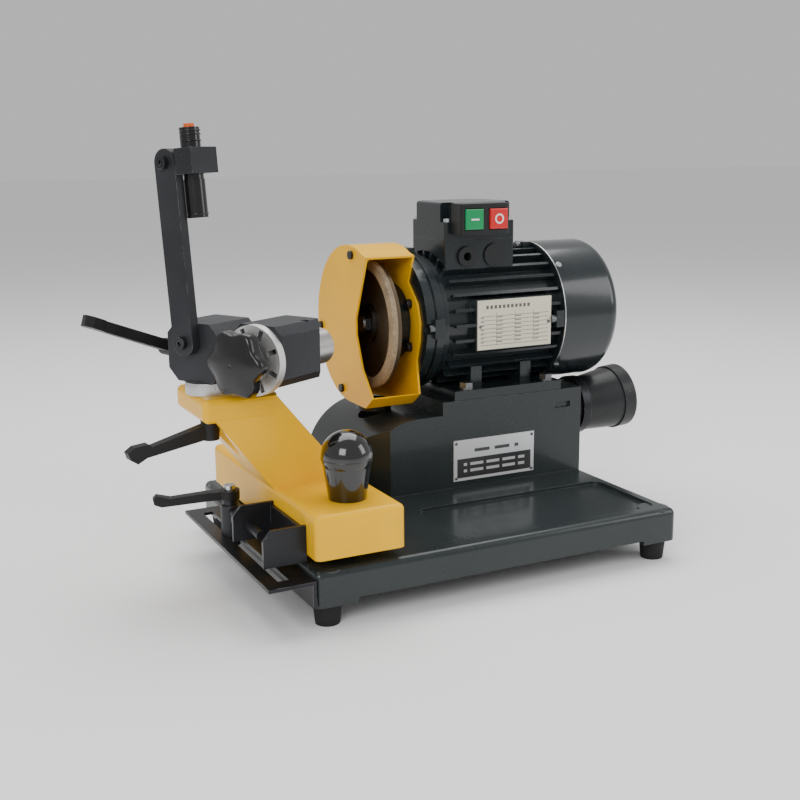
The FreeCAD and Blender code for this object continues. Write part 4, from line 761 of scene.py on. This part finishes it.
def foot_screws():
    """Pan head with a small recess in its face; heights are measured downward."""
    heads = []
    for a, b in solids_of("rubber_feet"):
        centre = ((a[0] + b[0]) / 2, (a[1] + b[1]) / 2, FOOT_HEAD_UP)
        heads.append(lathe("head", centre, (0, 0, -1),
                           [(AXIS_GAP, -0.0015), (FOOT_HEAD_RADIUS, -0.0015),
                            (FOOT_HEAD_RADIUS, 0.0006), (0.0044, 0.0015), (0.0012, 0.0017),
                            (0.0011, 0.0009), (AXIS_GAP, 0.0009)], 32))
    piece = joined("foot_screws", heads)
    wear_material(piece, zinc_and_painted_highlight)
    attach(piece, "base")
    return len(heads)


print("foot screws", foot_screws())

# %% [markdown]
# The torch has raised grip rings at its button end and one at its lamp end, and the round knob has
# a moulding seam at the root of its dome. All are closed profiles carried once round.

# %% Rings on the torch and the seam of the knob
LAMP_RING_RADIUS, GRIP_RADIUS = 0.0086, 0.0081
SEAM_INNER, SEAM_OUTER, SEAM_DOWN = 0.0207, 0.0212, 0.0225


def long_axis(label):
    """Direction in which a node's points spread most, from the eigenvectors of their spread."""
    co = points_of(nodes[label].data)
    middle = (co.min(0) + co.max(0)) / 2
    _, vectors = np.linalg.eigh(np.cov((co - middle).T))
    along = vectors[:, -1] * np.sign(vectors[2, -1])
    reach = (co - middle) @ along
    return middle, along, reach.min(), reach.max()


torch_middle, torch_axis, torch_low, torch_high = long_axis("lamp_body")
torch_at = torch_middle + torch_axis * torch_low
length = torch_high - torch_low
ring_places = [(0.003, LAMP_RING_RADIUS)] + [(length - down, GRIP_RADIUS)
                                             for down in (0.028, 0.0025, 0.0055, 0.0105)]
rings = [lathe("grip", torch_at, torch_axis, bead(radius, height, 0.00035, 0.0006))
         for height, radius in ring_places]
torch_grip = joined("torch_grip", rings, smooth=True)
wear_material(torch_grip, lamp_finish)
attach(torch_grip, "lamp_clamp")
low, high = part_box("arm_knob")
knob_at = ((low.x + high.x) / 2, (low.y + high.y) / 2, high.z - SEAM_DOWN)
knob_seam = lathe("knob_seam", knob_at, (0, 0, 1),
                  [(SEAM_INNER, -0.0007), (SEAM_OUTER, -0.0003), (SEAM_OUTER, 0.0003),
                   (SEAM_INNER, 0.0007)], 64)
wear_material(knob_seam, phenolic)
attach(knob_seam, "arm")
print("torch and knob rings made")

# %% [markdown]
# The star knob is pressed from black phenolic with soft lobes and a domed face. Its radius swings
# with a cosine of six times the angle, and the swing fades toward the middle, so one grid makes
# the whole knob.


# %% Star knob
KNOB_RIM, KNOB_THICK, KNOB_ROUND = 0.0283, 0.0165, 0.004
DOME_RISE, WAIST, HUB = 0.0035, 0.0135, 0.012


def star_surface(name, centre, axis, profile, lobes=6, depth=0.17, turns=180):
    """Radius = profile radius * (1 - depth * fade * (1 - cos(lobes * t)) / 2), where fade is the
    square of the profile radius over the rim."""
    across, up, along = axis_frame(axis)
    r, h = np.array(profile, float).T
    t = np.linspace(0, 2 * np.pi, turns, endpoint=False)
    fade = (r / r.max()) ** 2
    swing = 1 - depth * fade[:, None] * (1 - np.cos(lobes * t))[None] / 2
    ring = np.cos(t)[:, None] * across + np.sin(t)[:, None] * up
    reach = (r[:, None] * swing)[..., None] * ring[None]
    points = np.array(centre) + h[:, None, None] * along + reach
    return mesh_piece(name, points, wrapped_quads(len(r), turns), True)


def star_knob():
    """Dome, rounded rim, waist and hub in one closed profile, seen from the tail of the spindle."""
    reach = (points_of(nodes["star_knob"].data) - spindle_point) @ spindle_axis
    start, stop = reach.min(), reach.max()
    t = np.linspace(0, np.pi / 2, 9)
    part = np.linspace(0, 1, 14)
    dome = np.stack([AXIS_GAP + (KNOB_RIM - KNOB_ROUND) * part, DOME_RISE * part ** 2.2], -1)
    edge = np.stack([KNOB_RIM - KNOB_ROUND + KNOB_ROUND * np.sin(t),
                     DOME_RISE + KNOB_ROUND * (1 - np.cos(t))], -1)
    back = np.array([(KNOB_RIM, KNOB_THICK - 0.003), (KNOB_RIM - 0.0012, KNOB_THICK - 0.0008),
                     (KNOB_RIM - KNOB_ROUND, KNOB_THICK), (WAIST, KNOB_THICK + 0.001),
                     (HUB + 0.0002, KNOB_THICK + 0.0022), (HUB, stop - start - 0.0005),
                     (HUB - 0.0005, stop - start), (AXIS_GAP, stop - start)])
    centre = spindle_point + spindle_axis * start
    piece = star_surface("star_knob_moulding", centre, spindle_axis,
                         np.concatenate([dome, edge[1:], back]))
    wear_material(piece, phenolic_satin)
    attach(piece, "spindle")
    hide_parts("star_knob")
    return len(piece.data.polygons)


print("star knob faces", star_knob())

# %% [markdown]
# A painted highlight: a thin bright zinc bead round the edge of the fan cover shows as a silver line
# next to the fins.

# %% Painted highlight on the rim of the fan cover
low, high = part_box("fan_cover")
cover_r = (high.z - low.z) / 2
# The bright bead stands in for the highlight on the cover's rim: a painted highlight.
cover_highlight_bead = lathe("fan_cover_painted_highlight", (low.x + 0.0003, shaft_point[1], shaft_point[2]), (1, 0, 0),
                   bead(cover_r - 0.0005, 0, 0.0007, 0.0006), 128)
wear_material(cover_highlight_bead, zinc_and_painted_highlight)
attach(cover_highlight_bead, "base")
print("cover edge", round(cover_r, 4))

# %% [markdown]
# Four black socket screws fix the guard to the boss of the motor. They sit on a circle between the
# wheel and the guard's right side.


# %% Screws that hold the guard to the motor
SCREW_CIRCLE, HEAD_RADIUS, HEAD_HEIGHT, HEAD_CHAMFER = 0.041, 0.0046, 0.005, 0.0006


def guard_mount_screws():
    """Heads stand on the inside of the guard's right plate, each with a round recess."""
    _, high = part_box("guard_shell")
    heads = []
    for angle in np.radians([150, 210, 270, 30]):
        spot = (high.x - 0.002, shaft_point[1] + SCREW_CIRCLE * math.cos(angle),
                shaft_point[2] + SCREW_CIRCLE * math.sin(angle))
        heads.append(lathe("head", spot, (-1, 0, 0),
                           [(AXIS_GAP, -0.001), (HEAD_RADIUS, -0.001), (HEAD_RADIUS, 0.0042),
                            (HEAD_RADIUS - HEAD_CHAMFER, HEAD_HEIGHT), (0.0022, HEAD_HEIGHT),
                            (0.0021, 0.0026), (AXIS_GAP, 0.0026)], 28))
    piece = joined("guard_mount_screws", heads)
    wear_material(piece, blackened)
    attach(piece, "base")
    return len(heads)


print("guard mount screws", guard_mount_screws())

# %% [markdown]
# The machine stands on a plain pale floor. One broad soft light overhead makes the long sheen on
# the dark enamel, a second from the operator's left lights the yellow arm, a weak third lifts the
# right side, and the white world fills the rest.

# %% Floor
FLOOR_REACH = 14.0
corners = FLOOR_REACH * np.array([[-1, -1, 0], [1, -1, 0], [1, 1, 0], [-1, 1, 0]])
floor = mesh_piece("floor", corners, [[0, 1, 2, 3]], False)
floor_material, _, floor_shader = start_material("pale_floor")
floor_shader.inputs["Base Color"].default_value = (0.93, 0.93, 0.93, 1)
floor_shader.inputs["Roughness"].default_value = 0.8
wear_material(floor, floor_material)


# %% Lights
def soft_light(name, place, aim, size, power):
    """Rectangular soft light at a place, turned to face a point."""
    lamp = bpy.data.lights.new(name, "AREA")
    lamp.shape = "RECTANGLE"
    lamp.size, lamp.size_y = size
    lamp.energy = power
    holder = bpy.data.objects.new(name, lamp)
    holder.location = place
    holder.rotation_euler = (Vector(aim) - Vector(place)).to_track_quat("-Z", "Y").to_euler()
    bpy.context.scene.collection.objects.link(holder)
    return holder


machine_middle = (0.0, 0.0, 0.15)
soft_light("overhead", (0.1, 0.4, 1.6), machine_middle, (1.8, 1.2), 26)
soft_light("left_front", (-1.3, -1.3, 1.1), machine_middle, (0.9, 0.9), 17)
soft_light("right_front", (1.4, -1.0, 0.9), machine_middle, (0.7, 1.1), 9)
world = bpy.data.worlds.new("studio")
world.use_nodes = True
world.node_tree.nodes["Background"].inputs["Color"].default_value = (1, 1, 1, 1)
world.node_tree.nodes["Background"].inputs["Strength"].default_value = 0.6
bpy.context.scene.world = world

# %% [markdown]
# The camera stands in front and to the left, a little above the motor, and is turned half a
# degree about its own axis.

# %% Camera
AZIMUTH, ELEVATION, ROLL = (math.radians(a) for a in (-26.5, 12.4, -0.5))
CAMERA_PLACE = (-0.4897, -0.9216, 0.368)
SENSOR_WIDTH, FOCAL_LENGTH = 36, 51.75
back = Vector((math.sin(AZIMUTH) * math.cos(ELEVATION), -math.cos(AZIMUTH) * math.cos(ELEVATION),
               math.sin(ELEVATION)))
level = Vector((math.cos(AZIMUTH), math.sin(AZIMUTH), 0))
upright = back.cross(level)
right = level * math.cos(ROLL) + upright * math.sin(ROLL)
upright = back.cross(right)
lens = bpy.data.cameras.new("camera")
lens.sensor_width = SENSOR_WIDTH
lens.lens = FOCAL_LENGTH
camera = bpy.data.objects.new("camera", lens)
camera.matrix_world = Matrix((*[(right[k], upright[k], back[k], CAMERA_PLACE[k]) for k in range(3)],
                              (0, 0, 0, 1)))
bpy.context.scene.collection.objects.link(camera)
bpy.context.scene.camera = camera
